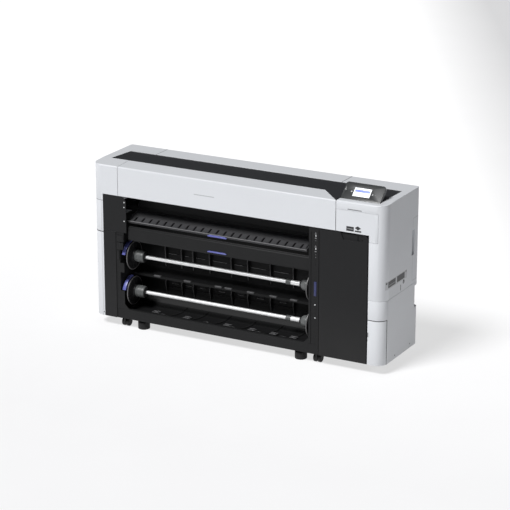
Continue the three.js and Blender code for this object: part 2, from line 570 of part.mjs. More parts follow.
const TANK = { x0: COLUMN_LEFT + 10, x1: RIGHT - 15, y0: FRONT + 65, top: 300 };
node("maintenance_box", cut(
  box(TANK.x0, TANK.x1, TANK.y0, TANK.y0 + 225, SKIRT + SHEET + GAP, TANK.top),
  box(TANK.x0 + 19, TANK.x1 - 19, TANK.y0 - 5, TANK.y0 + 10, TANK.top - 60, TANK.top - 30),
), GREY);

// ---------------------------------------------------------------- control panel
// Drawn flat with its pivot at the origin, then tilted and set on the pivot.
const slabPlace = (body) => body.rotate([PANEL_TILT, 0, 0]).translate(0, PANEL_PIVOT_Y, PANEL_PIVOT_Z);
const SCREEN = { x0: PANEL_LEFT + 63, x1: PANEL_LEFT + 166, v0: 20, v1: 76, depth: 2 };
const BUTTON = { x: PANEL_LEFT + 13, v: 50, radius: 6.5 };
const slabTop = PANEL_THICKNESS / 2;
function screenBlock(grow, z0, z1) {
  return box(SCREEN.x0 - grow, SCREEN.x1 + grow, SCREEN.v0 - grow, SCREEN.v1 + grow, z0, z1);
}
node("control_panel", slabPlace(cut(
  join(
    prismZ([
      [PANEL_LEFT, 0], [PANEL_RIGHT, 0], [PANEL_RIGHT, PANEL_LENGTH, 14], [PANEL_LEFT, PANEL_LENGTH, 14],
    ], -slabTop, slabTop),
    turnedX(rod(slabTop, PANEL_LEFT, PANEL_RIGHT), 0, 0, 32),
  ),
  screenBlock(GAP, slabTop - SCREEN.depth - GAP, slabTop + 5),
  turnedZ(rod(BUTTON.radius + GAP, -slabTop - 10, -slabTop + 14), BUTTON.x, BUTTON.v, 24).mirror([0, 0, 1]),
)), CHARCOAL);
node("touch_screen", slabPlace(screenBlock(0, slabTop - SCREEN.depth, slabTop + 0.4)), GLASS);
node("power_button", slabPlace(
  turnedZ(rod(BUTTON.radius, slabTop - 6, slabTop + 1.2), BUTTON.x, BUTTON.v, 24),
), CHARCOAL);

// ---------------------------------------------------------------- paper path
const GUIDE = { x0: BAY_LEFT + 42, x1: BAY_RIGHT - 32, y0: FRONT + 30, y1: COVER_HINGE_Y + 2 };
Object.assign(GUIDE, { z0: DECK_TOP - 54, z1: DECK_TOP - 17 });
const SLOT = { count: 23, pitch: 50, width: 7, first: GUIDE.x0 + 40 };
node("paper_guide", cut(
  bentSheet([
    [GUIDE.y0 + 1, GUIDE.z0 - 14], [GUIDE.y0, GUIDE.z0], [GUIDE.y1, GUIDE.z1],
  ], SHEET, GUIDE.x0, GUIDE.x1),
  ...Array.from({ length: SLOT.count }, (_, i) => {
    const x = SLOT.first + i * SLOT.pitch;
    return box(x, x + SLOT.width, GUIDE.y0 + 14, GUIDE.y0 + 46, GUIDE.z0 - 10, GUIDE.z1);
  }),
), FRAME);

const FLAP = { x0: SWING_LEFT, x1: BAY_RIGHT - 9, y: FRONT + 17 };
Object.assign(FLAP, { top: DECK_BOTTOM - 60, bottom: DECK_BOTTOM - 146 });
node("roll_flap", join(
  bentSheet([
    [FLAP.y + 16, FLAP.bottom], [FLAP.y + 4, FLAP.bottom + 2], [FLAP.y, FLAP.bottom + 12],
    [FLAP.y, FLAP.top - 8], [FLAP.y + 6, FLAP.top],
  ], SHEET, FLAP.x0, FLAP.x1),
  turnedX(rod(5, FLAP.x0, FLAP.x1), FLAP.y + 8, FLAP.top, 16),
), FRAME);

// Cradle sheets behind and under each roll, with upright ribs on the rear wall.
const RIBS = [197, 307, 386, 499, 645, 755, 905, 1056]; // distances from the bay's left side
const RIB_X = RIBS.map((shift) => BAY_LEFT + shift);
const CRADLE_X = [BAY_LEFT + GAP, BAY_RIGHT - GAP];
// The outlines are given from the spindle axis of the roll they hold.
function cradle(line, rib, z) {
  const sheet = bentSheet(line, SHEET, ...CRADLE_X);
  return join(sheet, ...RIB_X.map((x) => prismX(rib, x - 3, x + 3))).translate(0, ROLL_Y, z);
}
const upperBack = DECK_BOTTOM - 52 - UPPER_ROLL_Z; // the rear walls end below the deck and the upper cradle
const lowerBack = UPPER_ROLL_Z - 132 - LOWER_ROLL_Z;
node("upper_cradle", cradle(
  [[20, -128], [20, -114], [60, -110], [100, -87], [118, -42], [122, upperBack]],
  [[104, -80], [121, -60], [123, 88], [104, 88], [94, 38]],
  UPPER_ROLL_Z,
), FRAME);
node("lower_cradle", cradle(
  [
    [-73, -95], [-66, -102], [-35, -109], [5, -111], [45, -106],
    [85, -83], [110, -46], [120, 1], [122, lowerBack],
  ],
  [[113, -27], [123, -1], [124, lowerBack - 4], [106, lowerBack - 4], [96, lowerBack / 2 - 5.5]],
  LOWER_ROLL_Z,
), FRAME);

// ---------------------------------------------------------------- rolls
const HUB = { radius: 37, face: BAY_LEFT + 122, disc: BAY_LEFT + 36 };
const RIGHT_HUB = { face: BAY_RIGHT - 95, disc: BAY_RIGHT - 29 };
const BORE = SPINDLE_RADIUS + 1;
const LEVER = { x0: BAY_LEFT + 8, x1: BAY_LEFT + 29, ring: 24, spokes: [10, 55] };
function rollSet(level, z) {
  node(`${level}_spindle`, turnedX(rod(SPINDLE_RADIUS, BAY_LEFT - 18, BAY_RIGHT + 18), ROLL_Y, z, 24), STEEL);
  node(`${level}_left_flange`, turnedX([
    [BORE, HUB.disc], [FLANGE_RADIUS, HUB.disc], [FLANGE_RADIUS, HUB.disc + 6], [HUB.radius, HUB.disc + 12],
    [HUB.radius - 3, HUB.face], [BORE, HUB.face], [BORE, HUB.disc],
  ], ROLL_Y, z, 32), CHARCOAL);
  node(`${level}_right_flange`, turnedX([
    [BORE, RIGHT_HUB.face], [26, RIGHT_HUB.face], [34, RIGHT_HUB.face + 12], [36, RIGHT_HUB.disc - 6],
    [FLANGE_RADIUS, RIGHT_HUB.disc], [FLANGE_RADIUS, RIGHT_HUB.disc + 6], [BORE, RIGHT_HUB.disc + 6],
    [BORE, RIGHT_HUB.face],
  ], ROLL_Y, z, 32), CHARCOAL);
  // The lock lever is a curved grip on two spokes around a ring on the spindle axis.
  const arc = prismX(leverGrip(), LEVER.x0, LEVER.x1);
  const ring = turnedX(rod(LEVER.ring, LEVER.x0, LEVER.x0 + 8), 0, 0, 24)
    .subtract(turnedX(rod(BORE, LEVER.x0 - 1, LEVER.x0 + 9), 0, 0, 24));
  const spokes = LEVER.spokes.map((turn) => {
    return box(LEVER.x0, LEVER.x0 + 6, -6, 6, LEVER.ring - 4, LEVER_RADIUS - 6).rotate([turn, 0, 0]);
  });
  node(`${level}_lock_lever`, join(arc, ring, ...spokes).translate(0, ROLL_Y, z), BLUE);
}
function leverGrip() {
  const steps = 10;
  const at = (radius, k) => {
    const angle = THREE.MathUtils.degToRad(-5 + (80 * k) / steps);
    return [-radius * Math.sin(angle), radius * Math.cos(angle)];
  };
  const outer = Array.from({ length: steps + 1 }, (_, k) => at(LEVER_RADIUS, k));
  const inner = Array.from({ length: steps + 1 }, (_, k) => at(LEVER_RADIUS - 7, k)).reverse();
  return [...outer, ...inner];
}
rollSet("upper", UPPER_ROLL_Z);
rollSet("lower", LOWER_ROLL_Z);

// ---------------------------------------------------------------- casters and feet
const CASTERS = {
  front_left: [BAY_LEFT + 12, FRONT + 35], front_right: [BAY_RIGHT + 38, FRONT + 35],
  rear_left: [BAY_LEFT + 12, REAR - 65], rear_right: [BAY_RIGHT + 38, REAR - 65],
};
const AXLE = 5;
for (const [place, [x, y]] of Object.entries(CASTERS)) {
  const wheelY = y + CASTER_TRAIL;
  node(`${place}_caster_fork`, cut(
    join(
      turnedZ(rod(19, 53.5, SKIRT - 0.4), x, y, 24),
      box(x - 5, x + 5, y - 14, wheelY + 6, WHEEL_RADIUS - 8, 54),
      turnedX(rod(11, x - 5, x + 5), wheelY, WHEEL_RADIUS, 24),
    ),
    turnedX(rod(AXLE + GAP, x - 10, x + 10), wheelY, WHEEL_RADIUS, 24),
  ), CHARCOAL);
  node(`${place}_caster_wheels`, turnedX([
    [0, x - 23], [WHEEL_RADIUS - 2, x - 23], [WHEEL_RADIUS, x - 20], [WHEEL_RADIUS, x - 6], [AXLE, x - 6],
    [AXLE, x + 6], [WHEEL_RADIUS, x + 6], [WHEEL_RADIUS, x + 20], [WHEEL_RADIUS - 2, x + 23], [0, x + 23],
  ], wheelY, WHEEL_RADIUS), CHARCOAL);
}
["left_foot", "right_foot"].forEach((name, i) => {
  node(name, turnedZ([
    [0, 0], [FOOT_RADIUS - 2, 0], [FOOT_RADIUS, 3], [FOOT_RADIUS, 44], [FOOT_RADIUS - 6, 47],
    [STEM_RADIUS, 47], [STEM_RADIUS, 84], [0, 84],
  ], FOOT_X[i], FOOT_Y), CHARCOAL);
});

export default root;
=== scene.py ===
# %% [markdown]
# A large format plotter stands on the floor of a drawing office. Its steel frame, rollers, covers and
# joints arrive as a fixed frame of plain faceted solids. This lesson dresses that frame: it rounds the
# moulded covers, adds the small pieces and gives every surface a finish. The frame is loaded first, because
# every later position is measured on it.

# %% Load the frame
import json
import math

import bmesh
import bpy
from mathutils import Matrix, Vector


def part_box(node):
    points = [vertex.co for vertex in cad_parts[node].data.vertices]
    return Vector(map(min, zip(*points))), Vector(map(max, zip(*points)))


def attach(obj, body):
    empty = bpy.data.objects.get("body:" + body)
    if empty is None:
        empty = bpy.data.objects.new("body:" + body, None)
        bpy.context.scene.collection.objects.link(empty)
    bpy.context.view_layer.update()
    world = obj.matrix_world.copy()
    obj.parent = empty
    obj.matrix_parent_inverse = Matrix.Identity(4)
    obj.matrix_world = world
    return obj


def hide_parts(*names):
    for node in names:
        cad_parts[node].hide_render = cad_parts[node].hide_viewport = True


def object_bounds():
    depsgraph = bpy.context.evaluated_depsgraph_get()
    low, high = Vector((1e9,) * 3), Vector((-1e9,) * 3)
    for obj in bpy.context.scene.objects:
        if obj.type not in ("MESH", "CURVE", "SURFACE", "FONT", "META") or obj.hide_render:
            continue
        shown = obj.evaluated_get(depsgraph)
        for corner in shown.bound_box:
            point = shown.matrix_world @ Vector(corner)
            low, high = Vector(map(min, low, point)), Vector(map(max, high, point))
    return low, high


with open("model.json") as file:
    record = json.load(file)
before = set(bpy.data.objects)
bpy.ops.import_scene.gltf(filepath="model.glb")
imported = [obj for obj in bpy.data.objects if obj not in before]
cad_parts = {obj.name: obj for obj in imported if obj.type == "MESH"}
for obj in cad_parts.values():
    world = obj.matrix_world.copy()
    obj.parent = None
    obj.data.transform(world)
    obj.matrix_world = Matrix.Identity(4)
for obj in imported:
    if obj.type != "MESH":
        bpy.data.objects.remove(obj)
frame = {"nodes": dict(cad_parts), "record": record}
cad_low, cad_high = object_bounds()
MM = 0.001
BODY_OF = {node: body for body, nodes in frame["record"]["behaviour"]["bodies"].items() for node in nodes}
print("frame", [round(v, 3) for v in cad_high - cad_low], "m,", len(frame["nodes"]), "solids")

# %% [markdown]
# The machine is seen from its front right, a little from above, with a long lens, so its long edges stay
# nearly parallel. The camera could track an empty, but a location worked out from two angles and a distance
# keeps the view exact and needs nothing else in the scene.

# %% Camera
AZIMUTH = math.radians(28.43)
ELEVATION = math.radians(18.08)
CAMERA_DISTANCE = 12.75
CAMERA_TARGET = Vector((0.014, 0.0, 0.511))
away = Vector((
    math.sin(AZIMUTH) * math.cos(ELEVATION),
    -math.cos(AZIMUTH) * math.cos(ELEVATION),
    math.sin(ELEVATION),
))
camera = bpy.data.objects.new("camera", bpy.data.cameras.new("camera"))
bpy.context.scene.collection.objects.link(camera)
camera.location = CAMERA_TARGET + away * CAMERA_DISTANCE
camera.rotation_mode = "QUATERNION"
camera.rotation_quaternion = (-away).to_track_quat("-Z", "Y")
camera.data.lens = 154.1
camera.data.sensor_width = 36.0
camera.data.clip_end = 200.0
bpy.context.scene.camera = camera
print("camera at", [round(v, 2) for v in camera.location])

# %% [markdown]
# Shader maths reads best as ordinary arithmetic. A small class wraps one shader socket and overloads the
# operators, and a second one builds a finish around a Principled shader, so that each finish below is a few
# lines of plain expressions.

# %% Sockets that can be added and multiplied
class Wire:
    """One output socket of a shader tree, usable in Python arithmetic."""

    def __init__(self, tree, socket):
        self.tree = tree
        self.socket = socket

    def math(self, operation, other=0.0, flipped=False):
        node = self.tree.nodes.new("ShaderNodeMath")
        node.operation = operation
        for place, value in enumerate((other, self) if flipped else (self, other)):
            feed(self.tree, node.inputs[place], value)
        return Wire(self.tree, node.outputs[0])

    def __add__(self, other):
        return self.math("ADD", other)

    __radd__ = __add__

    def __sub__(self, other):
        return self.math("SUBTRACT", other)

    def __rsub__(self, other):
        return self.math("SUBTRACT", other, flipped=True)

    def __mul__(self, other):
        return self.math("MULTIPLY", other)

    __rmul__ = __mul__

    def above(self, edge):
        return self.math("GREATER_THAN", edge)

    def below(self, edge):
        return self.math("LESS_THAN", edge)


def feed(tree, socket, value):
    """Links a wire to a socket, or sets a plain value on it."""
    if isinstance(value, Wire):
        tree.links.new(value.socket, socket)
    else:
        socket.default_value = value


class Finish:
    """A material under construction: a Principled shader and the nodes that feed it."""

    def __init__(self, name, **fixed):
        self.material = bpy.data.materials.new(name)
        self.material.use_nodes = True
        self.tree = self.material.node_tree
        self.shader = self.tree.nodes["Principled BSDF"]
        for socket, value in fixed.items():
            self.shader.inputs[socket.replace("_", " ")].default_value = value

    def node(self, kind, settings=None, values=None, output=0):
        made = self.tree.nodes.new("ShaderNode" + kind)
        for key, value in (settings or {}).items():
            setattr(made, key, value)
        for socket, value in (values or {}).items():
            feed(self.tree, made.inputs[socket], value)
        return Wire(self.tree, made.outputs[output])

    def place(self, scale=(1.0, 1.0, 1.0)):
        here = self.node("TexCoord", output="Object")
        return self.node("Mapping", None, {"Vector": here, "Scale": scale})

    def axis(self, letter):
        here = self.node("TexCoord", output="Object")
        return self.node("SeparateXYZ", None, {"Vector": here}, output=letter)

    def patch(self, letters, low, high):
        """One between two corners given along object axes in millimetres, nought outside."""
        mask = 1.0
        for letter, start, stop in zip(letters, low, high):
            here = self.axis(letter)
            mask = here.above(start * MM) * here.below(stop * MM) * mask
        return mask

    def disc(self, letters, centre, radius):
        """One inside a circle given along two object axes in millimetres, nought outside."""
        squares = 0.0
        for letter, middle in zip(letters, centre):
            off = self.axis(letter) - middle * MM
            squares = off * off + squares
        return squares.below((radius * MM) ** 2)

    def paint(self, tone, masks, colour):
        """Lays one colour over a tone wherever any of the masks is one."""
        for mask in masks:
            tone = self.blend(mask, tone, colour)
        return tone

    def noise(self, scale, detail=3.0, stretch=(1.0, 1.0, 1.0)):
        where = self.place(scale=stretch)
        return self.node("TexNoise", None, {"Vector": where, "Scale": scale, "Detail": detail})

    def blend(self, factor, first, second):
        made = self.tree.nodes.new("ShaderNodeMix")
        made.data_type = "RGBA"
        for place, value in ((0, factor), (6, first), (7, second)):
            feed(self.tree, made.inputs[place], value)
        return Wire(self.tree, made.outputs[2])

    def put(self, socket, value):
        feed(self.tree, self.shader.inputs[socket], value)

    def bump(self, height, strength, distance):
        values = {"Height": height, "Strength": strength, "Distance": distance}
        self.put("Normal", self.node("Bump", None, values))


def tint(red, green, blue):
    return (red, green, blue, 1.0)


print("shader helpers ready")

# %% [markdown]
# Most of the plotter is injection moulded plastic. Real mouldings have a fine spark-eroded grain, slow
# changes of tone where the melt cooled unevenly, a little dust low down and a soft sheen that varies with
# touch. One function makes that finish in any colour, so the white covers, the charcoal panels and the grey
# hubs belong to one family.

# %% Moulded plastic finishes
def moulded(name, colour, shade, roughness, grain=0.35, dust=0.0, marks=None, **fixed):
    """Moulded plastic: colour varies slowly towards shade, roughness and grain vary finely.

    marks(made, tone) may paint seams, slots or plain badges over the tone.
    """
    made = Finish(name, **fixed)
    clouds = made.noise(3.5, 4.0)
    mottle = made.noise(90.0, 2.0)
    spark = made.noise(1400.0, 2.0)
    tone = made.blend(clouds * 0.6 + mottle * 0.4, colour, shade)
    if dust:
        height = made.axis("Z")
        low = made.node("MapRange", None, {"Value": height, 1: 0.45, 2: 0.0, 3: 0.0, 4: dust})
        tone = made.blend(low * clouds, tone, tint(0.36, 0.34, 0.31))
    if marks:
        tone = marks(made, tone)
    made.put("Base Color", tone)
    made.put("Roughness", roughness - 0.06 + clouds * 0.08 + mottle * 0.05)
    made.bump(spark * 0.7 + mottle * 0.3, grain, 0.0002)
    return made.material


def white(name, marks=None):
    return moulded(name, WHITE_TONE, WHITE_SHADE, 0.42, dust=0.10, marks=marks)


def charcoal(name, marks=None):
    first, second = tint(0.0130, 0.0132, 0.0140), tint(0.0170, 0.0172, 0.0182)
    return moulded(name, first, second, 0.46, dust=0.03, marks=marks, Specular_IOR_Level=0.14)


WHITE_TONE, WHITE_SHADE = tint(0.655, 0.672, 0.700), tint(0.625, 0.640, 0.668)
WHITE = white("white_cover")
CHARCOAL = charcoal("charcoal_panel")
STRIP = moulded(
    "charcoal_strip", tint(0.023, 0.024, 0.027), tint(0.030, 0.031, 0.034), 0.36, grain=0.25,
    Specular_IOR_Level=0.3,
)
BLUE = moulded("blue_grip", tint(0.095, 0.105, 0.34), tint(0.125, 0.138, 0.41), 0.34, grain=0.2)
DEEP_BLUE = moulded("blue_slider", tint(0.020, 0.024, 0.085), tint(0.030, 0.036, 0.12), 0.34, grain=0.2)
print("plastics", [m.name for m in (WHITE, CHARCOAL, STRIP, BLUE, DEEP_BLUE)])

# %% [markdown]
# Some covers carry marks: small plain badges, seams, slots and screw heads. Flush marks like these are
# printed on or sunk into the real covers. Here they are masks in object space, worked out from the position
# of each point, so that nothing stands proud of the outer faces. The badges are plain shapes with no text.
# Some of the marks are painted shade: the dark slots, vents and openings, the shadow along the edges of the
# ink door and a dark band in the gap beside the left panels.

# %% Marked covers
INK_GREY = tint(0.018, 0.018, 0.020)
SEAM_GREY = tint(0.22, 0.225, 0.235)
PALE = tint(0.50, 0.51, 0.53)
SLOT_SHADE = tint(0.035, 0.037, 0.040)


def badge_marks(made, tone):
    """A plate with a pale line and a lozenge over a bar."""
    across, up = made.axis("X") - 787 * MM, made.axis("Z") - 852 * MM
    lozenge = (across.math("ABSOLUTE") * 0.62 + up.math("ABSOLUTE")).below(12 * MM)
    plate = made.patch("XZ", (716, 829), (762, 856))
    tone = made.paint(tone, (plate, lozenge, made.patch("XZ", (768, 829), (808, 838))), INK_GREY)
    return made.paint(tone, (made.patch("XZ", (722, 840), (756, 845)),), SEAM_GREY)


def front_marks(made, tone):
    """A plain bar in the middle of the front cover and a dark seam at each end."""
    tone = made.paint(tone, (made.patch("XZ", (-262, 899), (-128, 904)),), tint(0.40, 0.41, 0.43))
    return seam_and_shade_lines(("X", -779, -776.5), ("X", 648, 651))(made, tone)


def side_marks(made, tone):
    """The slotted strip, the ports and the rear corner seam of the right side, and a plain bar in front; the
    recess and its openings are painted shade.
    """
    door_lines = (((142, 462), (144, 835)), ((143, 833), (230, 835)), ((143, 461), (230, 463)))
    tone = made.paint(tone, [made.patch("YZ", *span) for span in door_lines], tint(0.33, 0.335, 0.345))
    # Painted shade: the recessed strip is painted a darker grey than the cover, and its slots and ports near
    # black.
    tone = made.paint(tone, (made.patch("YZ", (-200, 504), (72, 553)),), PALE)
    slots = (((-176, 512), (-80, 548)), ((-62, 512), (40, 548)), ((-14, 450), (-7, 484)))
    ports = (((28, 492), 12), ((-190, 541), 6), ((58, 545), 6))
    dark = [made.patch("YZ", *span) for span in slots] + [made.disc("YZ", *port) for port in ports]
    tone = made.paint(tone, dark, SLOT_SHADE)
    inner = (made.disc("YZ", (24, 491), 7), made.patch("YZ", (-170, 522), (-84, 527)))
    tone = made.paint(tone, inner, SEAM_GREY)
    screws = [made.disc("YZ", centre, 4) for centre in ((-71, 73), (130, 84))]
    near = made.axis("Y").below(-0.2)
    bar = made.patch("XZ", (722, 952), (809, 957)) * near
    return made.paint(tone, (bar, *screws), tint(0.15, 0.155, 0.16))


def column_marks(made, tone):
    """Two screw heads low on the right side and the dark outline of the corner cover."""
    heads = [made.disc("YZ", centre, 4.5) for centre in ((-71, 79), (130, 84))]
    outline = (made.patch("YZ", (-231, 322), (-180, 326)), made.patch("YZ", (-183, 58), (-179, 326)))
    return made.paint(tone, (*heads, *outline), tint(0.05, 0.05, 0.055))


def seam_and_shade_lines(*lines):
    """Marks that darken a cover between two positions in millimetres along an axis, once for each line."""
    def marks(made, tone):
        masks = [made.patch(letter, (low,), (high,)) for letter, low, high in lines]
        return made.paint(tone, masks, tint(0.08, 0.08, 0.085))
    return marks


def left_marks(made, tone):
    """The seams of the left column, painted shade in the gap beside the dark panels, the soft line beside
    the dark panels and a screw hole low down.
    """
    # The band from x -806 to -797 is painted shade: it darkens the column's inner right wall where it shows
    # through the gap beside the panels.
    tone = seam_and_shade_lines(("Z", 581.5, 587.5), ("Z", 777, 782), ("X", -806, -797))(made, tone)
    near = made.axis("Y").below(-0.2)
    tone = made.paint(tone, (made.patch("X", (-896,), (-893,)) * near,), tint(0.42, 0.43, 0.45))
    return made.paint(tone, (made.disc("XZ", (-889, 80), 3.6) * near,), tint(0.03, 0.03, 0.032))


def corner_marks(made, tone):
    """The dark outline of the corner cover and the finger notch in its left edge."""
    tone = seam_and_shade_lines(("Z", 321, 324), ("Y", -185, -181))(made, tone)
    notch = made.patch("XZ", (855, 222), (862, 250)) * made.axis("Y").below(-0.2)
    return made.paint(tone, (notch,), tint(0.16, 0.165, 0.17))


def panel_marks(made, tone):
    """Three bright countersunk screws at the edge of the left panel."""
    heads = [made.disc("XZ", centre, 3.6) for centre in ((-736, 784), (-737, 754), (-738, 668))]
    return made.paint(tone, heads, tint(0.62, 0.63, 0.64))


def lock_marks(made, tone):
    """A small plain sign beside the pull of the ink door, and painted shadow along its right and top edges.
    """
    sign = (made.patch("XZ", (812, 781), (820, 789)), made.patch("XZ", (781, 776), (788, 806)))
    # Painted shadow: the right and top edges of the door, in the gaps to the white covers, are made near
    # black.
    door_edge_shadow = (made.axis("X").above(0.8485), made.axis("Z").above(0.8135))
    return made.paint(tone, (*sign, *door_edge_shadow), tint(0.003, 0.003, 0.0035))


BADGED = white("white_badged", badge_marks)
LEFTED = white("white_left", left_marks)
REARED = white("white_rear", seam_and_shade_lines(("X", -704, -700.5), ("X", 527.5, 531)))
CORNERED = white("white_corner", corner_marks)
FRONTED = white("white_front", front_marks)
SIDED = white("white_side", side_marks)
COLUMNED = white("white_column", column_marks)
SCREWED = charcoal("charcoal_screwed", panel_marks)
LOCKED = charcoal("charcoal_lock", lock_marks)
print("marked covers", [m.name for m in (BADGED, LEFTED, REARED, FRONTED, SIDED, COLUMNED)])

# %% [markdown]
# The frame behind the covers is folded sheet steel with a powder coat, which dries with a faint orange-peel
# skin. The spindles are ground steel: bright, with fine turning lines around them. Rubber is dull and picks
# up lint. Each differs mostly in its bump and its roughness, so each gets its own scale of noise.

# %% Painted steel, ground steel and rubber
def powder_coat(name, colour, shade, marks=None):
    made = Finish(name, Specular_IOR_Level=0.14)
    peel = made.noise(420.0, 1.5)
    clouds = made.noise(5.0, 3.0)
    tone = made.blend(clouds, colour, shade)
    made.put("Base Color", marks(made, tone) if marks else tone)
    made.put("Roughness", 0.44 + peel * 0.12)
    made.put("Metallic", clouds * 0.08)
    made.bump(peel, 0.5, 0.0003)
    return made.material


def ground_steel(name, colour, stretch):
    made = Finish(name)
    lines = made.noise(260.0, 3.0, stretch)
    clouds = made.noise(14.0, 2.0)
    made.put("Base Color", made.blend(clouds * 0.5 + lines * 0.5, colour, tint(0.70, 0.71, 0.72)))
    made.put("Metallic", 0.34 + clouds * 0.1)
    made.put("Roughness", 0.24 + lines * 0.14 + clouds * 0.06)
    made.bump(lines, 0.15, 0.0001)
    return made.material


def soft_rubber(name, colour):
    made = Finish(name, Specular_IOR_Level=0.3)
    lint = made.noise(700.0, 3.0)
    clouds = made.noise(20.0, 2.0)
    made.put("Base Color", made.blend(lint * 0.4 + clouds * 0.3, colour, tint(0.045, 0.044, 0.042)))
    made.put("Roughness", 0.66 + lint * 0.2)
    made.bump(lint, 0.4, 0.0003)
    return made.material


def rear_marks(made, tone):
    """Two louvred vents, whose gaps are painted near black as painted shade, and rows of screw heads on the
    rear sheet.
    """
    slats = made.node("Math", {"operation": "SINE"}, {0: made.axis("Z") * 520.0}).above(0.1)
    vents = (((-640, 640), (-340, 760)), ((120, 640), (420, 760)))
    tone = made.paint(tone, [made.patch("XZ", *span) * slats for span in vents], tint(0.004, 0.004, 0.005))
    heads = [made.disc("XZ", (x, z), 5.0) for x in (-760, -250, 60, 505) for z in (84, 480, 900)]
    return made.paint(tone, heads, tint(0.45, 0.46, 0.47))


def slot_marks(made, tone):
    """The row of slots near the front edge of the paper guide, painted near black as painted shade in the
    openings.
    """
    along = made.node("Math", {"operation": "FRACT"}, {0: made.axis("X") * 20.0 + 13.88})
    row = made.patch("XY", (-694, -197), (420, -160)) * along.below(0.24)
    return made.paint(tone, (row,), tint(0.006, 0.006, 0.007))


FRAME = powder_coat("frame_paint", tint(0.0130, 0.0132, 0.0138), tint(0.0170, 0.0172, 0.0178))
# Painted shade: the cradles deep in the bay get a near black copy of the frame paint, darker than the frame
# itself.
SHADED_CRADLE = powder_coat("cradle_paint_shaded", tint(0.0065, 0.0066, 0.0070), tint(0.0095, 0.0096, 0.0100))
REAR_SHEET = powder_coat("rear_sheet", tint(0.030, 0.031, 0.033), tint(0.040, 0.041, 0.043), rear_marks)
GUIDE = powder_coat("guide_paint", tint(0.046, 0.046, 0.049), tint(0.058, 0.058, 0.061), slot_marks)
STEEL = ground_steel("bright_steel", tint(0.90, 0.905, 0.91), (40.0, 0.4, 0.4))
SCREW = ground_steel("screw_zinc", tint(0.66, 0.67, 0.68), (1.0, 1.0, 1.0))
RUBBER = soft_rubber("black_rubber", tint(0.014, 0.014, 0.015))
print("metals and rubber", [m.name for m in (FRAME, SHADED_CRADLE, REAR_SHEET, GUIDE, STEEL, SCREW, RUBBER)])

# %% [markdown]
# A touch screen is a thin glossy sheet over a lit display. A few stripes are enough to stand for the menu it
# shows, and a position measured up the slope of the slab places them exactly. The colours glow a little,
# because a display is its own light.

# %% Lit screen
PANEL_TILT = math.radians(42.0)
screen_low, screen_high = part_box("touch_screen")


def lit_screen():
    made = Finish("screen", Roughness=0.12, Specular_IOR_Level=0.5)
    made.shader.inputs["Emission Strength"].default_value = 0.55
    across = (made.axis("X") - screen_low.x) * (1.0 / (screen_high.x - screen_low.x))
    up = (made.axis("Z") - screen_low.z) * (1.0 / (screen_high.z - screen_low.z))
    band = up.above(0.52) * up.below(0.80)
    tile = made.node("TexNoise", None, {"Vector": made.place(), "Scale": 22.0, "Detail": 1.0})
    rows = made.node("Math", {"operation": "SINE"}, {0: up * 44.0}).above(0.86) * up.below(0.46)
    inside = across.above(0.05) * across.below(0.95)
    page = made.blend(band * inside, tint(0.90, 0.93, 0.96), tint(0.13, 0.17, 0.62))
    page = made.blend(band * inside * tile, page, tint(0.34, 0.40, 0.80))
    page = made.blend(rows * inside * 0.5, page, tint(0.55, 0.60, 0.68))
    made.put("Base Color", page)
    made.put("Emission Color", page)
    return made.material


def slab_marks(made, tone):
    """Small pale signs beside the screen, placed by their distance up the slope."""
    back, up = made.axis("Y") + 0.175, made.axis("Z") - 0.994
    slope = back * math.cos(PANEL_TILT) + up * math.sin(PANEL_TILT)

    def sign(x0, x1, v0, v1):
        across = made.axis("X").above(x0 * MM) * made.axis("X").below(x1 * MM)
        return across * slope.above(v0 * MM) * slope.below(v1 * MM)

    house = (sign(701, 710, 44, 49), sign(703.5, 707.5, 49, 52))
    help_signs = (sign(833, 839, 40, 46), sign(834.5, 837.5, 47.5, 51))
    tone = made.paint(tone, (*house, *help_signs), tint(0.55, 0.56, 0.57))
    return made.paint(tone, (sign(850, 854, 39, 44),), tint(0.20, 0.21, 0.21))


SCREEN = lit_screen()
SLAB = moulded(
    "panel_slab", tint(0.028, 0.030, 0.031), tint(0.036, 0.038, 0.039), 0.30, grain=0.2, marks=slab_marks,
)
print("screen", [round(v / MM) for v in screen_high - screen_low], "mm")

# %% [markdown]
# Moulded and folded parts never have knife edges. Each solid of the frame is copied, its loose triangles
# are merged into faces, its sharp edges are bevelled, and the copy stands in for the solid. A bevel modifier
# could do it, but one bmesh pass keeps the object plain and lets the outer top edges of the covers get a
# larger round than their seams.

# %% Round the edges of a frame solid
SHARP = math.radians(24.0)
FLAT_AREA = 0.02  # square metres; larger faces are shaded flat so that no round bends their light
dressed = []


def merged_copy(node):
    """A bmesh of a frame solid with its triangles joined into flat faces."""
    bm = bmesh.new()
    bm.from_mesh(frame["nodes"][node].data)
    bmesh.ops.remove_doubles(bm, verts=bm.verts, dist=2e-6)
    bmesh.ops.dissolve_limit(bm, angle_limit=math.radians(0.6), verts=bm.verts, edges=bm.edges)
    return bm


def round_edges(bm, width, segments, chosen=None):
    """Bevels the sharp edges, or those of them that chosen(edge) picks."""
    edges = [e for e in bm.edges if len(e.link_faces) == 2 and e.calc_face_angle(0.0) > SHARP]
    if chosen:
        edges = [e for e in edges if chosen(e)]
    if edges:
        bmesh.ops.bevel(
            bm, geom=edges, offset=width, offset_type="OFFSET", affect="EDGES", segments=segments,
            profile=0.5, clamp_overlap=True, material=-1,
        )


def finish_piece(name, bm, material, body, stands_for=(), smooth=40.0):
    """Turns a bmesh into a named object that rides on a body."""
    mesh = bpy.data.meshes.new(name)
    bm.to_mesh(mesh)
    bm.free()
    mesh.materials.append(material)
    mesh.set_sharp_from_angle(angle=math.radians(smooth))
    for polygon in mesh.polygons:
        polygon.use_smooth = polygon.area < FLAT_AREA
    piece = bpy.data.objects.new(name, mesh)
    bpy.context.scene.collection.objects.link(piece)
    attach(piece, body)
    if stands_for:
        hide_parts(*stands_for)
    dressed.append(name)
    return piece


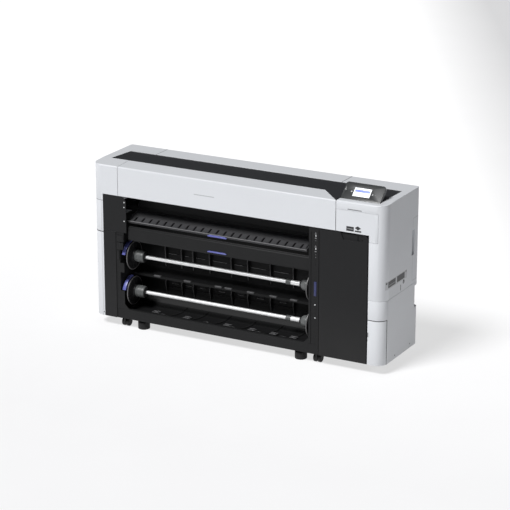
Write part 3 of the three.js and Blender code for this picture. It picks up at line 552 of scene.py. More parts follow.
def dress(node, material, width=0.8, segments=2, outer=None, outer_width=7.0):
    """Replaces a frame solid by its rounded copy; outer(edge) picks edges with a larger round."""
    bm = merged_copy(node)
    if outer:
        round_edges(bm, outer_width * MM, 4, outer)
    round_edges(bm, width * MM, segments)
    return finish_piece(node + "_skin", bm, material, BODY_OF[node], (node,), smooth=35.0)


def rim(edge):
    """Picks the long edges around the outside of the top."""
    middle = (edge.verts[0].co + edge.verts[1].co) / 2
    high = middle.z > cad_high.z - 0.082
    outside = abs(middle.x) > 0.93 or (middle.y < -0.2 and abs(middle.x) > 0.8)
    return high and outside and middle.z > 0.985


dress("left_end_cover", WHITE, 0.9, 2, rim, 6.0)
dress("right_end_cover", SIDED, 0.9, 2, rim, 6.0)
dress("front_cover", FRONTED, 0.9)
dress("right_front_panel", BADGED, 0.9)
dress("right_column_cover", COLUMNED, 0.9)
dress("rear_top_cover", REARED, 0.9)
dress("maintenance_cover", CORNERED, 0.9)
for node in ("left_column_middle", "left_column_lower"):
    dress(node, LEFTED, 0.9)
print("white covers dressed:", len(dressed))

# %% Dress the dark and inner parts
dress("left_upper_panel", SCREWED, 1.0)
dress("ink_door", LOCKED, 1.0)
dress("rear_cover", REAR_SHEET, 0.8)
for node in ("left_lower_panel", "cover_inner_plate", "print_carriage"):
    dress(node, CHARCOAL, 1.0)
for node in ("left_side_frame", "right_side_frame", "front_base_beam", "rear_base_beam", "engine_deck"):
    dress(node, FRAME, 0.8)
dress("roll_flap", FRAME, 0.6)
for node in ("upper_cradle", "lower_cradle"):
    dress(node, SHADED_CRADLE, 0.6)
dress("paper_guide", GUIDE, 0.4, 1)
dress("top_window", STRIP, 1.2)
dress("control_panel", SLAB, 2.5, 3)
dress("touch_screen", SCREEN, 0.3, 1)
print("parts dressed:", len(dressed))

# %% [markdown]
# The small parts are built in mesh code. Round ones, such as a screw head, a foot or a flange, start as a
# profile that is spun about an axis. Folded ones start as a rounded block. A real screw or foot is turned
# or moulded in the same two ways, and both functions close their shapes, so every piece is solid.

# %% Spun and blocked shapes
def spun(bm, profile, centre, axis, steps=40):
    """Spins (radius, distance) pairs in millimetres about an axis through a point in metres."""
    centre = Vector(centre)
    along = Vector(axis).normalized()
    across = along.orthogonal().normalized()
    places = [centre + across * (radius * MM) + along * (distance * MM) for radius, distance in profile]
    verts = [bm.verts.new(place) for place in places]
    edges = [bm.edges.new(pair) for pair in zip(verts, verts[1:])]
    if profile[0][0] > 0.0:
        edges.append(bm.edges.new((verts[-1], verts[0])))
    whole = {"cent": centre, "axis": along, "angle": math.tau, "steps": steps, "use_merge": True}
    bmesh.ops.spin(bm, geom=verts + edges, **whole)


def block(bm, low, high, edge=0.6, segments=2, turn=None):
    """Adds a box between two corners in millimetres, with rounded edges, turned about its centre."""
    low, high = Vector(low) * MM, Vector(high) * MM
    middle, size = (low + high) / 2, high - low
    place = Matrix.Translation(middle) @ (turn or Matrix.Identity(4)) @ Matrix.Diagonal((*size, 1.0))
    corners = bmesh.ops.create_cube(bm, size=1.0, matrix=place)["verts"]
    edges = list({e for corner in corners for e in corner.link_edges})
    bmesh.ops.bevel(
        bm, geom=edges, offset=edge * MM, offset_type="OFFSET", affect="EDGES", segments=segments,
        profile=0.5, clamp_overlap=True, material=-1,
    )


def strip(bm, points, width, height, up=(0.0, 0.0, 1.0)):
    """Runs a tapered bar along points in millimetres; it is wide in x and stands height off them."""
    half, top = width / 2, width * 0.3
    section = ((-half, 0.0), (half, 0.0), (top, height), (-top, height))
    rows = []
    for point in points:
        offsets = [Vector((across, 0.0, 0.0)) + Vector(up) * rise for across, rise in section]
        rows.append([bm.verts.new((Vector(point) + offset) * MM) for offset in offsets])
    for near, far in zip(rows, rows[1:]):
        for k in range(4):
            bm.faces.new((near[k], near[(k + 1) % 4], far[(k + 1) % 4], far[k]))
    bm.faces.new(rows[0][::-1])
    bm.faces.new(rows[-1])


def add_piece(name, shape, material, body, stands_for=(), smooth=40.0):
    """Makes a bmesh, lets shape(bm) fill it, closes its poles and turns its faces outwards."""
    bm = bmesh.new()
    shape(bm)
    bmesh.ops.remove_doubles(bm, verts=bm.verts, dist=2e-6)
    bmesh.ops.recalc_face_normals(bm, faces=bm.faces)
    return finish_piece(name, bm, material, body, stands_for, smooth)


def screw(bm, x, y, z, radius, axis=(0.0, -1.0, 0.0)):
    """A pan head with a round drive recess, standing on a surface."""
    profile = [
        (0.0, 0.25), (0.38, 0.25), (0.45, 0.62), (0.72, 0.58), (0.94, 0.36), (1.0, 0.12), (1.0, -0.1),
        (0.0, -0.1),
    ]
    spun(bm, [(r * radius, d * radius) for r, d in profile], Vector((x, y, z)) * MM, axis, steps=20)


print("shape functions ready")

# %% [markdown]
# Each paper roll turns on a ground steel spindle between two flanges. The left flange is fixed: a dark disc
# with a paler rim and stiffening ribs, and a ribbed hub that grips the paper core. The right flange slides,
# and brings a dark collar and a polished sleeve with it, so they are pieces of the flange.

# %% Spindles and flanges
ROLLS = {"upper": 432.0, "lower": 211.0}
ROLL_Y = -130.0
HUB_GREY = moulded("hub_dark_grey", tint(0.075, 0.080, 0.080), tint(0.100, 0.105, 0.104), 0.40)
CORE_GREY = moulded("hub_mid_grey", tint(0.090, 0.094, 0.095), tint(0.120, 0.124, 0.124), 0.38)
RIM_GREY = moulded("flange_rim", tint(0.10, 0.098, 0.100), tint(0.135, 0.132, 0.134), 0.36)
X_AXIS = (1.0, 0.0, 0.0)


def groove(radius, depth, start, width):
    """Four profile points that cut a small groove into a turned part."""
    low, stop = radius - depth, start + width
    return [(radius, start), (low, start + 0.4), (low, stop - 0.4), (radius, stop)]


def spindle_profile():
    return [
        (0.0, -790.0), (9.5, -790.0), (11.0, -788.5), *groove(11.0, 0.8, -779.0, 4.0),
        *groove(11.0, 0.5, -648.0, 3.0), *groove(11.0, 0.8, 489.0, 4.0),
        (11.0, 503.5), (9.5, 505.0), (0.0, 505.0),
    ]


DISC_LEFT = [
    (12.2, -736.0), (81.5, -736.0), (81.5, -730.6), (76.0, -729.6), (60.0, -729.2), (46.0, -727.0),
    (39.0, -723.0), (37.0, -714.0), (12.2, -714.0),
]
RIM_LEFT = [(81.8, -736.0), (85.6, -736.0), (87.0, -734.6), (87.0, -731.4), (85.6, -730.0), (81.8, -730.0)]
HUB_LEFT = [
    (12.2, -713.6), (34.0, -713.6), (36.0, -710.0), *groove(36.0, 1.2, -700.0, 3.0),
    *groove(35.4, 1.2, -672.0, 3.0), (34.0, -662.0), (32.0, -657.0), (12.2, -657.0),
]
END_LEFT = [(12.2, -656.6), (30.5, -656.6), (31.5, -655.0), (29.0, -651.0), (14.5, -650.0), (12.2, -650.0)]
HUB_RIGHT = [
    (12.2, 392.0), (21.0, 392.0), (25.0, 394.0), (31.0, 402.0), (34.5, 414.0),
    *groove(35.5, 1.2, 426.0, 3.0), (36.0, 446.0), (12.2, 446.0),
]
DISC_RIGHT = [
    (12.2, 446.4), (39.0, 446.4), (44.0, 452.0), (60.0, 456.5), (81.5, 458.0), (81.5, 464.0), (12.2, 464.0),
]
RIM_RIGHT = [(81.8, 458.0), (85.6, 458.0), (87.0, 459.4), (87.0, 462.6), (85.6, 464.0), (81.8, 464.0)]
COLLAR = [
    (11.6, 291.0), (15.5, 291.0), (17.0, 292.5), *groove(17.0, 1.0, 299.0, 2.4),
    *groove(17.0, 1.0, 305.0, 2.4), *groove(17.0, 1.0, 311.0, 2.4),
    (17.0, 320.5), (15.5, 322.0), (11.6, 322.0),
]
SLEEVE = [(11.6, 322.4), (13.6, 322.4), (14.4, 323.2), (14.4, 379.5), (13.4, 380.6), (11.6, 380.6)]
NECK = [(11.6, 381.0), (15.0, 381.0), (16.5, 383.0), (16.5, 389.0), (15.0, 391.6), (11.6, 391.6)]
LEFT_RIBS, RIGHT_RIBS = (-730.0, -726.5), (454.0, 458.6)


def ribs_around(bm, z, xs, inner, outer, count, thickness=3.0):
    """Flat ribs set like spokes on a flange."""
    for k in range(count):
        turn = Matrix.Rotation(math.tau * (k + 0.5) / count, 4, "X")
        middle = Vector((sum(xs) / 2, ROLL_Y, z)) + turn @ Vector((0.0, 0.0, (inner + outer) / 2))
        half = Vector(((xs[1] - xs[0]) / 2, thickness / 2, (outer - inner) / 2))
        block(bm, middle - half, middle + half, 0.5, 1, turn)


for level, roll_z in ROLLS.items():
    axis_point = Vector((0.0, ROLL_Y, roll_z)) * MM
    spindle_body, flange_body = f"{level}_spindle", f"{level}_right_flange"

    def turned(name, profile, material, body, stands_for=(), ribs=None):
        def shape(bm):
            spun(bm, profile, axis_point, X_AXIS, 56)
            if ribs:
                ribs_around(bm, roll_z, *ribs)
        add_piece(f"{level}_{name}", shape, material, body, stands_for)

    turned("spindle_rod", spindle_profile(), STEEL, spindle_body, (f"{level}_spindle",))
    turned("left_disc", DISC_LEFT, CHARCOAL, spindle_body, (f"{level}_left_flange",),
           (LEFT_RIBS, 44.0, 78.0, 12))
    turned("left_rim", RIM_LEFT, RIM_GREY, spindle_body)
    turned("left_hub", HUB_LEFT, HUB_GREY, spindle_body, ribs=((-697.0, -675.0), 33.0, 36.6, 16))
    turned("left_hub_end", END_LEFT, CHARCOAL, spindle_body)
    turned("right_hub", HUB_RIGHT, CORE_GREY, flange_body, (f"{level}_right_flange",),
           ((429.5, 445.0), 33.0, 36.6, 16))
    turned("right_disc", DISC_RIGHT, CHARCOAL, flange_body, ribs=(RIGHT_RIBS, 46.0, 78.0, 12))
    turned("right_rim", RIM_RIGHT, RIM_GREY, flange_body)
    turned("collar", COLLAR, HUB_GREY, flange_body)
    turned("sleeve", SLEEVE, STEEL, flange_body)
    turned("neck", NECK, CHARCOAL, flange_body)
    dress(f"{level}_lock_lever", BLUE, 1.6, 3)
print("roll parts dressed:", len(dressed))

# %% [markdown]
# The machine stands on two round levelling feet and rolls on four twin-wheel casters. A caster wheel is a
# nylon moulding with a raised cap, a dished side and a tread with a centre groove. The wheels of one caster
# share an axle, so they are spun as one piece, mirrored about the fork.

# %% Feet and casters
def foot_shape(x):
    profile = [(0.0, 0.0), (33.0, 0.0), (35.0, 1.0), (36.0, 3.0), (36.0, 9.0)]
    for k in range(5):
        profile += groove(36.0, 0.7, 10.0 + 6.0 * k, 2.0)
    profile += [(36.0, 42.0), (34.5, 44.5), (30.0, 47.0), (16.0, 47.0)]
    profile += [(14.5, 45.8), (10.0, 45.8), (10.0, 84.0), (0.0, 84.0)]
    return lambda bm: spun(bm, profile, Vector((x, -175.0, 0.0)) * MM, (0.0, 0.0, 1.0), 56)


for name, x in (("left_foot", -645.0), ("right_foot", 410.0)):
    add_piece(name + "_shell", foot_shape(x), CHARCOAL, name, (name,))

HALF_WHEEL = [
    (5.0, 6.2), (23.0, 6.2), (25.4, 6.8), (26.0, 8.0), (26.0, 12.4), (25.3, 13.0),
    (25.3, 14.0), (26.0, 14.6), (26.0, 19.6), (25.2, 21.4), (23.4, 22.8), (20.6, 23.0),
    (19.6, 21.2), (15.6, 20.8), (14.4, 22.4), (9.0, 22.8), (7.6, 21.6), (0.0, 21.6),
]
WHEEL_PROFILE = [(r, -d) for r, d in HALF_WHEEL[::-1]] + HALF_WHEEL
CASTERS = {
    "front_left": (-760.0, -195.0), "front_right": (525.0, -195.0),
    "rear_left": (-760.0, 165.0), "rear_right": (525.0, 165.0),
}
for place, (x, y) in CASTERS.items():
    hub = Vector((x, y + 15.0, 26.0)) * MM
    add_piece(
        place + "_wheel_pair", lambda bm: spun(bm, WHEEL_PROFILE, hub, X_AXIS, 48), CHARCOAL,
        place + "_wheels", (place + "_caster_wheels",),
    )
    dress(place + "_caster_fork", CHARCOAL, 1.2, 2)
print("feet and casters dressed:", len(dressed))

# %% [markdown]
# The rest of the frame is dressed the same way: the ink bay, the print engine, the belt drive and the power
# inlet are mostly hidden, but the covers open, so they get their own finishes too. The feed roller is a
# steel shaft with a row of rubber sleeves, which is how a long roller is made to press evenly.

# %% Print engine and ink bay
GREY = moulded("grey_plastic", tint(0.40, 0.42, 0.42), tint(0.47, 0.485, 0.48), 0.45)
for node in ("capping_station", "maintenance_box"):
    dress(node, GREY, 1.0)
dress("ink_rack", CHARCOAL, 0.8, 1)
dress("carriage_rail", STEEL, 0.8)
dress("motor_pulley", STEEL, 0.4, 1)
dress("drive_belt", RUBBER, 0.2, 1)
dress("power_inlet", RUBBER, 0.5, 1)


def roller_profile():
    """A steel shaft with rubber sleeves between short bare necks."""
    points = [(0.0, -790.0), (6.0, -790.0), (6.0, -770.0)]
    sleeves, start, stop = 15, -770.0, 480.0
    pitch = (stop - start) / sleeves
    for k in range(sleeves):
        low, high = start + k * pitch, start + (k + 1) * pitch
        points += [(11.0, low), (11.0, low + 6.0), (13.2, low + 6.4), (14.0, low + 8.0)]
        points += [(14.0, high - 8.0), (13.2, high - 6.4), (11.0, high - 6.0), (11.0, high - 0.01)]
    return points + [(6.0, 480.0), (6.0, 500.0), (0.0, 500.0)]


def feed_sleeves(bm):
    spun(bm, roller_profile(), Vector((0.0, 105.0, 739.0)) * MM, X_AXIS, 32)


add_piece("feed_roller_sleeves", feed_sleeves, RUBBER, "feed_roller", ("feed_roller",))

INKS = (
    ("cyan", (0.02, 0.30, 0.62)), ("magenta", (0.60, 0.03, 0.22)), ("yellow", (0.80, 0.60, 0.03)),
    ("red", (0.55, 0.05, 0.03)), ("grey", (0.30, 0.31, 0.32)), ("black", (0.02, 0.02, 0.022)),
)


def ink_colour(name, colour, low, high):
    """A pale cartridge with a band of its ink's colour across the front."""
    made = Finish("ink_" + name)
    mottle = made.noise(60.0, 3.0)
    near = made.axis("Y").below(low.y + 0.0108)
    height = made.axis("Z")
    band = near * height.above(low.z + 0.082) * height.below(high.z - 0.022)
    plain = made.blend(mottle, tint(0.40, 0.41, 0.42), tint(0.46, 0.47, 0.48))
    deep = tint(*(channel * 0.8 for channel in colour))
    made.put("Base Color", made.blend(band, plain, made.blend(mottle, tint(*colour), deep)))
    made.put("Roughness", 0.36 + mottle * 0.12)
    made.bump(mottle + band * 0.5, 0.3, 0.0003)
    return made.material


for number, (name, colour) in enumerate(INKS, 1):
    node = f"ink_cartridge_{number}"
    dress(node, ink_colour(name, colour, *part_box(node)), 1.6, 3)
print("engine dressed:", len(dressed))

# %% [markdown]
# Small fittings finish the engine: foam pads in the caps, pinch rollers over the feed roller, ribs and a
# lid on the carriage, and a lamp window on each cartridge bay. They could be left to the surface shader, but
# they catch light when the cover is up, so they are real pieces.

# %% Engine fittings
def cap_pads(bm):
    for k in range(3):
        x = 602.0 + 45.0 * k
        block(bm, (x + 4.0, -53.0, 734.2), (x + 32.0, -1.0, 736.8), 0.8)
    block(bm, (600.0, 6.4, 732.3), (730.0, 12.0, 737.5), 0.8)


def pinch_rollers(bm):
    for k in range(12):
        x = -700.0 + 100.0 * k
        profile = [(0.0, -24.0), (8.0, -24.0), (9.0, -23.0), (9.0, -3.0), (7.0, -2.0)]
        profile += [(7.0, 2.0), (9.0, 3.0), (9.0, 23.0), (8.0, 24.0), (0.0, 24.0)]
        spun(bm, profile, Vector((x, 105.0, 762.4)) * MM, X_AXIS, 24)


def pinch_arms(bm):
    block(bm, (-765.0, 119.0, 772.0), (475.0, 131.0, 786.0), 1.2)
    for k in range(12):
        x = -700.0 + 100.0 * k
        block(bm, (x - 22.0, 100.0, 772.4), (x + 22.0, 120.0, 778.0), 1.0)
    for x in (-768.0, 474.0):
        block(bm, (x, 116.0, 722.4), (x + 6.0, 134.0, 787.0), 0.8)


def carriage_trim(bm):
    for k in range(9):
        x = 604.0 + 15.0 * k
        block(bm, (x, -72.4, 770.0), (x + 6.0, -69.6, 862.0), 0.8)
    block(bm, (606.0, -20.0, 921.6), (724.0, 40.0, 926.0), 1.4)
    for x in (612.0, 690.0):
        block(bm, (x, -60.0, 736.4), (x + 30.0, 8.0, 741.4), 0.8)


def rack_fronts(bm):
    for k in range(6):
        x = 564.0 + 47.0 * k
        block(bm, (x + 4.0, -197.2, 681.8), (x + 18.0, -194.8, 683.4), 0.3, 1)


def box_trim(bm):
    for k in range(4):
        block(bm, (872.0 + 16.0 * k, -166.6, 100.0), (882.0 + 16.0 * k, -164.8, 210.0), 0.6)


add_piece("cap_pads", cap_pads, RUBBER, "chassis")
add_piece("pinch_rollers", pinch_rollers, RUBBER, "chassis")
add_piece("pinch_arms", pinch_arms, CHARCOAL, "chassis")
add_piece("carriage_trim", carriage_trim, HUB_GREY, "print_carriage")
add_piece("ink_rack_windows", rack_fronts, GREY, "chassis")
add_piece("maintenance_box_ribs", box_trim, GREY, "chassis")
print("engine fittings:", len(dressed))

# %% [markdown]
# The bays are full of small moulded parts: pads that the paper slides over, ledges and sensor housings on
# the rear wall, and slanting ridges that stiffen the lower pan. They are dark on dark in the real machine
# and show only as soft highlights, so each group is one piece made of many rounded blocks.

# %% Bay fittings
PAD_GREY = moulded("pad_grey", tint(0.026, 0.026, 0.028), tint(0.038, 0.038, 0.040), 0.34)
# Painted highlight: a light grey for thin strips and clips that stand for lit edges and bright dots in the
# dark bay.
HIGHLIGHT_GREY = moulded("painted_highlight_grey", tint(0.13, 0.13, 0.135), tint(0.18, 0.18, 0.185), 0.34)
LOWER_PADS = (-569.0, -356.0, -84.0, 80.0, 222.0, 352.0)
UPPER_PADS = (-587.0, -381.0, -171.0, -105.0, 44.0, 193.0, 327.0)
RIB_X = (-575.0, -465.0, -386.0, -273.0, -127.0, -17.0, 133.0, 284.0)
RIDGE_X = (-477.0, -330.0, -178.0, -4.0, 168.0, 330.0)


def paper_pads(bm):
    for x in LOWER_PADS:
        block(bm, (x - 24.0, -173.0, 107.4), (x + 24.0, -141.0, 110.4), 1.2)
        block(bm, (x - 15.0, -163.0, 110.0), (x + 15.0, -151.0, 113.6), 1.6)
    for x in UPPER_PADS:
        block(bm, (x - 22.0, -113.4, 311.0), (x + 22.0, -110.2, 319.6), 1.0)
        block(bm, (x - 24.0, -112.6, 318.8), (x + 24.0, -96.0, 321.0), 0.8)


def pan_ridges(bm):
    slope = ((-183.0, 108.6), (-165.0, 104.9), (-125.0, 102.9), (-85.0, 108.0), (-52.0, 124.6))
    for x in RIDGE_X:
        strip(bm, [(x + 60.0 * k / 4, y, z - 0.6) for k, (y, z) in enumerate(slope)], 9.0, 4.5)


def pan_lips(bm):
    """Short raised lips beside each ridge, which catch the light along the pan."""
    for x in RIDGE_X:
        block(bm, (x - 60.0, -176.0, 108.8), (x - 20.0, -173.4, 112.0), 0.6, 1)
    for low, high in zip(RIB_X, RIB_X[1:]):
        block(bm, (low + 14.0, -60.0, 318.6), (high - 14.0, -57.6, 324.0), 0.6, 1)


def rear_wall_boxes(bm):
    for low, high in zip(RIB_X, RIB_X[1:]):
        middle = (low + high) / 2
        block(bm, (middle - 26.0, -16.0, 478.0), (middle + 20.0, -8.6, 512.0), 1.4)
        block(bm, (middle - 20.0, -18.6, 488.0), (middle + 2.0, -15.6, 502.0), 0.8)
        block(bm, (low + 8.0, -14.0, 430.0), (high - 8.0, -9.8, 436.0), 1.0)
        block(bm, (middle - 22.0, -14.6, 252.0), (middle + 24.0, -8.8, 280.0), 1.4)
        block(bm, (low + 8.0, -14.0, 226.0), (high - 8.0, -9.4, 231.0), 1.0)


# The slits use the painted highlight grey, so that they show as lit lines on the pads.
def pad_slits(bm):
    for x in LOWER_PADS:
        for y in (-170.5, -146.0):
            block(bm, (x - 22.0, y, 110.2), (x + 22.0, y + 2.6, 111.4), 0.4, 1)
        block(bm, (x - 13.0, -162.0, 113.4), (x + 13.0, -159.6, 114.6), 0.4, 1)
    for x in UPPER_PADS:
        block(bm, (x - 23.0, -113.4, 319.4), (x + 23.0, -111.8, 321.6), 0.4, 1)


def housing_edges(bm):
    """Light grey strips painted as the highlight along the lower edges of the housings on the rear walls."""
    for low, high in zip(RIB_X, RIB_X[1:]):
        middle = (low + high) / 2
        block(bm, (middle - 26.0, -18.0, 477.0), (middle + 18.0, -15.6, 479.4), 0.5, 1)
        block(bm, (middle - 22.0, -16.6, 250.6), (middle + 22.0, -14.2, 253.0), 0.5, 1)
        block(bm, (low + 12.0, -15.4, 434.8), (high - 40.0, -13.6, 436.6), 0.4, 1)


# Painted highlight: a strip lighter than the cradle runs down the front edge of each rib and stands for the
# light along it.
def rib_edge_highlights(bm):
    for x in RIB_X:
        strip(bm, [(x, -26.2, 358.0), (x, -36.0, 470.0), (x, -26.6, 504.0)], 7.0, 2.0, (0.0, -1.0, 0.0))
        strip(bm, [(x, -18.0, 188.0), (x, -34.2, 250.0), (x, -26.4, 282.0)], 7.0, 2.0, (0.0, -1.0, 0.0))


def rib_caps(bm):
    for x in RIB_X:
        block(bm, (x - 4.4, -28.6, 505.0), (x + 4.4, -25.4, 521.0), 0.8)
        block(bm, (x - 4.4, -26.6, 282.0), (x + 4.4, -23.4, 297.0), 0.8)


add_piece("paper_pads", paper_pads, PAD_GREY, "chassis")
add_piece("pad_slits", pad_slits, HIGHLIGHT_GREY, "chassis")
add_piece("rib_edge_highlights", rib_edge_highlights, PAD_GREY, "chassis")
add_piece("housing_edges", housing_edges, HIGHLIGHT_GREY, "chassis")
add_piece("pan_ridges", pan_ridges, FRAME, "chassis")
add_piece("pan_lips", pan_lips, PAD_GREY, "chassis")
add_piece("rear_wall_boxes", rear_wall_boxes, CHARCOAL, "chassis")
add_piece("rib_caps", rib_caps, GUIDE, "chassis")


def left_post_boxes(bm):
    for low, high in ((536.0, 578.0), (488.0, 532.0)):
        block(bm, (-794.0, -229.4, low), (-748.0, -226.3, high), 1.4)
        block(bm, (-788.0, -229.9, low + 6.0), (-756.0, -229.2, high - 6.0), 0.3, 1)
    block(bm, (-794.0, -229.2, 424.0), (-776.0, -226.3, 482.0), 1.2)


def right_post_fittings(bm):
    for z in (738.0, 716.0, 645.0, 622.0, 596.0, 330.0, 306.0):
        screw(bm, 524.0, -226.0, z, 2.6)
    block(bm, (491.0, -229.0, 120.0), (496.0, -226.2, 790.0), 1.0)
    block(bm, (540.0, -228.6, 62.0), (545.0, -226.2, 806.0), 1.0)


def bright_screws(bm):
    for x, z in ((526.0, 768.0), (526.0, 691.0), (523.0, 357.0), (524.0, 279.0)):
        screw(bm, x, -226.0, z, 4.2)


def roll_lock_slider(bm):
    block(bm, (516.0, -228.4, 410.0), (532.0, -226.2, 496.0), 1.0)
    block(bm, (518.0, -229.9, 416.0), (530.0, -228.0, 444.0), 0.9)


def beam_gussets(bm):
    """A three-cornered plate in each lower corner of the bay."""
    for x, side in ((-745.0, 1.0), (481.0, -1.0)):
        corners = ((x, 118.0), (x + side * 32.0, 118.0), (x, 150.0))
        plate = bm.faces.new([bm.verts.new(Vector((at, -225.6, z)) * MM) for at, z in corners])
        grown = bmesh.ops.extrude_face_region(bm, geom=[plate])["geom"]
        back = [item for item in grown if isinstance(item, bmesh.types.BMVert)]
        bmesh.ops.translate(bm, verts=back, vec=Vector((0.0, 2.2 * MM, 0.0)))


def notch_plates(bm):
    """Plates that close the beam notches of the left side frame."""
    block(bm, (-776.6, -204.0, 62.0), (-774.4, -149.0, 124.0), 0.5, 1)
    block(bm, (-776.6, 131.0, 62.0), (-774.4, 204.0, 124.0), 0.5, 1)


# Painted highlight: the clips are light grey, so that they show as the bright dots along the post.
def post_clips(bm):
    for z in (776.0, 751.0, 700.0, 672.0):
        block(bm, (520.0, -228.8, z), (531.0, -226.2, z + 7.0), 1.0)
    for z in (785.0, 738.0, 710.0, 655.0, 640.0):
        block(bm, (523.0, -228.0, z), (528.0, -226.2, z + 4.0), 0.6, 1)


def gap_seal(bm):
    """A rubber lip between the left panel and the side frame."""
    block(bm, (-802.0, -226.7, 60.0), (-797.3, -222.4, 594.0), 0.4, 1)


add_piece("left_post_boxes", left_post_boxes, CHARCOAL, "chassis")
add_piece("right_post_fittings", right_post_fittings, CHARCOAL, "chassis")
add_piece("beam_gussets", beam_gussets, FRAME, "chassis")
add_piece("notch_plates", notch_plates, FRAME, "chassis")
add_piece("post_clips", post_clips, HIGHLIGHT_GREY, "chassis")
add_piece("gap_seal", gap_seal, RUBBER, "chassis")
add_piece("bright_screws", bright_screws, SCREW, "chassis")
add_piece("roll_lock_slider", roll_lock_slider, DEEP_BLUE, "chassis")
print("bay fittings:", len(dressed))

# %% [markdown]
# Blue marks the things a hand may touch. Two small blue pulls sit in the middle of the paper guide and of
# the flap under it, each a rounded bar with a finger groove, fixed to the part it lifts.

# %% Blue pulls and the paper guide edge
def guide_pull(bm):
    block(bm, (-188.0, -206.4, 652.0), (-62.0, -200.4, 660.0), 2.0, 3)
    block(bm, (-178.0, -204.0, 659.0), (-72.0, -201.0, 663.0), 1.2)


def flap_pull(bm):
    block(bm, (-182.0, -218.4, 561.0), (-57.0, -213.4, 568.0), 2.0, 3)
    block(bm, (-172.0, -216.6, 567.0), (-67.0, -213.4, 570.4), 1.0)


# Painted highlight: the bar along the guide's front edge is light grey, standing for the bright line of
# light along that edge.
def guide_edge(bm):
    block(bm, (-730.0, -204.0, 664.0), (455.0, -201.4, 668.6), 0.8)
    for k in range(23):
        x = -666.0 + 50.0 * k
        block(bm, (x, -204.6, 665.2), (x + 12.0, -201.8, 669.6), 0.6)


def guide_ends(bm):
    for low, high in ((-726.0, -712.0), (440.0, 451.0)):
        rows = [((low + high) / 2, y, 705.6 + (y + 95.0) * 37.0 / 105.0) for y in (-192.0, -150.0, -108.0)]
        strip(bm, rows, 8.0, 6.0)


add_piece("guide_pull", guide_pull, BLUE, "paper_guide")
add_piece("flap_pull", flap_pull, BLUE, "roll_flap")
add_piece("guide_edge", guide_edge, HIGHLIGHT_GREY, "paper_guide")
add_piece("guide_ends", guide_ends, PAD_GREY, "paper_guide")
print("pulls and guide edge:", len(dressed))

# %% [markdown]
# The power key is a round cap set in the slab. Its face carries a ring with a short bar through the top,
# the usual sign for power, raised a little from the cap so that a finger can find it.

# %% Power key
TILT_TURN = Matrix.Rotation(PANEL_TILT, 4, "X")
PIVOT = Vector((0.0, -175.0, 994.0)) * MM
KEY_X, KEY_V, FACE = 669.0, 50.0, 11.0


def on_slab(x, v, height):
    """A point of the sloping slab, in metres, from millimetres along it and above its middle plane."""
    return PIVOT + TILT_TURN @ (Vector((x, v, height)) * MM)


SLAB_UP = TILT_TURN @ Vector((0.0, 0.0, 1.0))


def key_cap(bm):
    profile = [
        (0.0, -6.0), (6.3, -6.0), (6.5, -5.6), (6.5, 0.6), (6.0, 1.15), (5.4, 1.2), (4.8, 1.0), (0.0, 0.9),
    ]
    spun(bm, profile, on_slab(KEY_X, KEY_V, FACE), SLAB_UP, 40)


def key_sign(bm):
    ring = [(2.4, 0.8), (2.4, 1.15), (3.3, 1.15), (3.3, 0.8)]
    spun(bm, ring, on_slab(KEY_X, KEY_V, FACE), SLAB_UP, 32)
    middle = on_slab(KEY_X, KEY_V + 2.6, FACE + 1.0) / MM
    half = Vector((0.45, 1.5, 0.2))
    block(bm, middle - half, middle + half, 0.1, 1, TILT_TURN)


add_piece("power_key_cap", key_cap, CHARCOAL, "power_button", ("power_button",))
add_piece("power_key_sign", key_sign, GREY, "power_button")
print("power key:", len(dressed))

# %% [markdown]
# The floor is a plain pale sheet, wide enough to fill the camera's view to its top, though its far edge can
# be seen from near the ground. It glows a little, so that it stays near white while the machine still drops
# a soft shadow on it. The light is one broad lamp from the front and above, with a faint even sky around it
# that leaves the right side of the machine in half tone.

# %% Floor and light
FLOOR_GLOW = 0.74
GLOW_NEAR, GLOW_FAR = -1.5, 2.5  # metres in front of and behind the machine
DIM_START, DIM_END = 1.75, 2.7  # metres to its right, along a slanting line
DIM_SLANT = 0.54


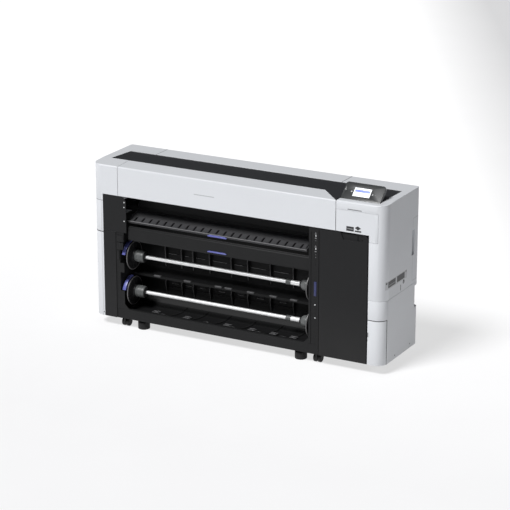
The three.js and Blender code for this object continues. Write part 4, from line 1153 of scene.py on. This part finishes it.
def pale_floor():
    """A pale sheet that glows more behind the machine and less far to its right."""
    made = Finish("pale_floor", Roughness=0.85, Specular_IOR_Level=0.1, Emission_Strength=FLOOR_GLOW)
    far = made.node("MapRange", None, {"Value": made.axis("Y"), 1: GLOW_NEAR, 2: GLOW_FAR, 3: 0.0, 4: 1.0})
    aside = made.axis("X") + made.axis("Y") * DIM_SLANT
    right = made.node("MapRange", None, {"Value": aside, 1: DIM_START, 2: DIM_END, 3: 0.0, 4: 1.0})
    grain = made.noise(2.0, 2.0)
    made.put("Base Color", made.blend(grain, tint(0.31, 0.31, 0.315), tint(0.33, 0.33, 0.335)))
    glow = made.blend(far, tint(0.82, 0.82, 0.825), tint(1.0, 1.0, 1.0))
    made.put("Emission Color", made.blend(right, glow, tint(0.50, 0.50, 0.505)))
    return made.material


FLOOR_SIZE = 120.0
floor_bm = bmesh.new()
bmesh.ops.create_grid(floor_bm, x_segments=1, y_segments=1, size=FLOOR_SIZE / 2)
floor_mesh = bpy.data.meshes.new("floor")
floor_bm.to_mesh(floor_mesh)
floor_bm.free()
floor_mesh.materials.append(pale_floor())
floor = bpy.data.objects.new("floor", floor_mesh)
bpy.context.scene.collection.objects.link(floor)

LAMP_POWER = 3.72
LAMP_BREADTH = math.radians(20.0)  # a broad source, for soft shadow edges
LAMP_AIM = Vector((0.20, 0.54, -0.80))
SKY_STRENGTH = 0.05
lamp = bpy.data.objects.new("key_lamp", bpy.data.lights.new("key_lamp", "SUN"))
bpy.context.scene.collection.objects.link(lamp)
lamp.data.energy = LAMP_POWER
lamp.data.angle = LAMP_BREADTH
lamp.rotation_mode = "QUATERNION"
lamp.rotation_quaternion = LAMP_AIM.to_track_quat("-Z", "Y")

world = bpy.data.worlds.new("studio")
world.use_nodes = True
world.node_tree.nodes["Background"].inputs["Color"].default_value = tint(0.97, 0.98, 1.0)
world.node_tree.nodes["Background"].inputs["Strength"].default_value = SKY_STRENGTH
bpy.context.scene.world = world
bpy.context.scene.view_settings.view_transform = "Standard"
print("floor", FLOOR_SIZE, "m across; lamp and sky set")
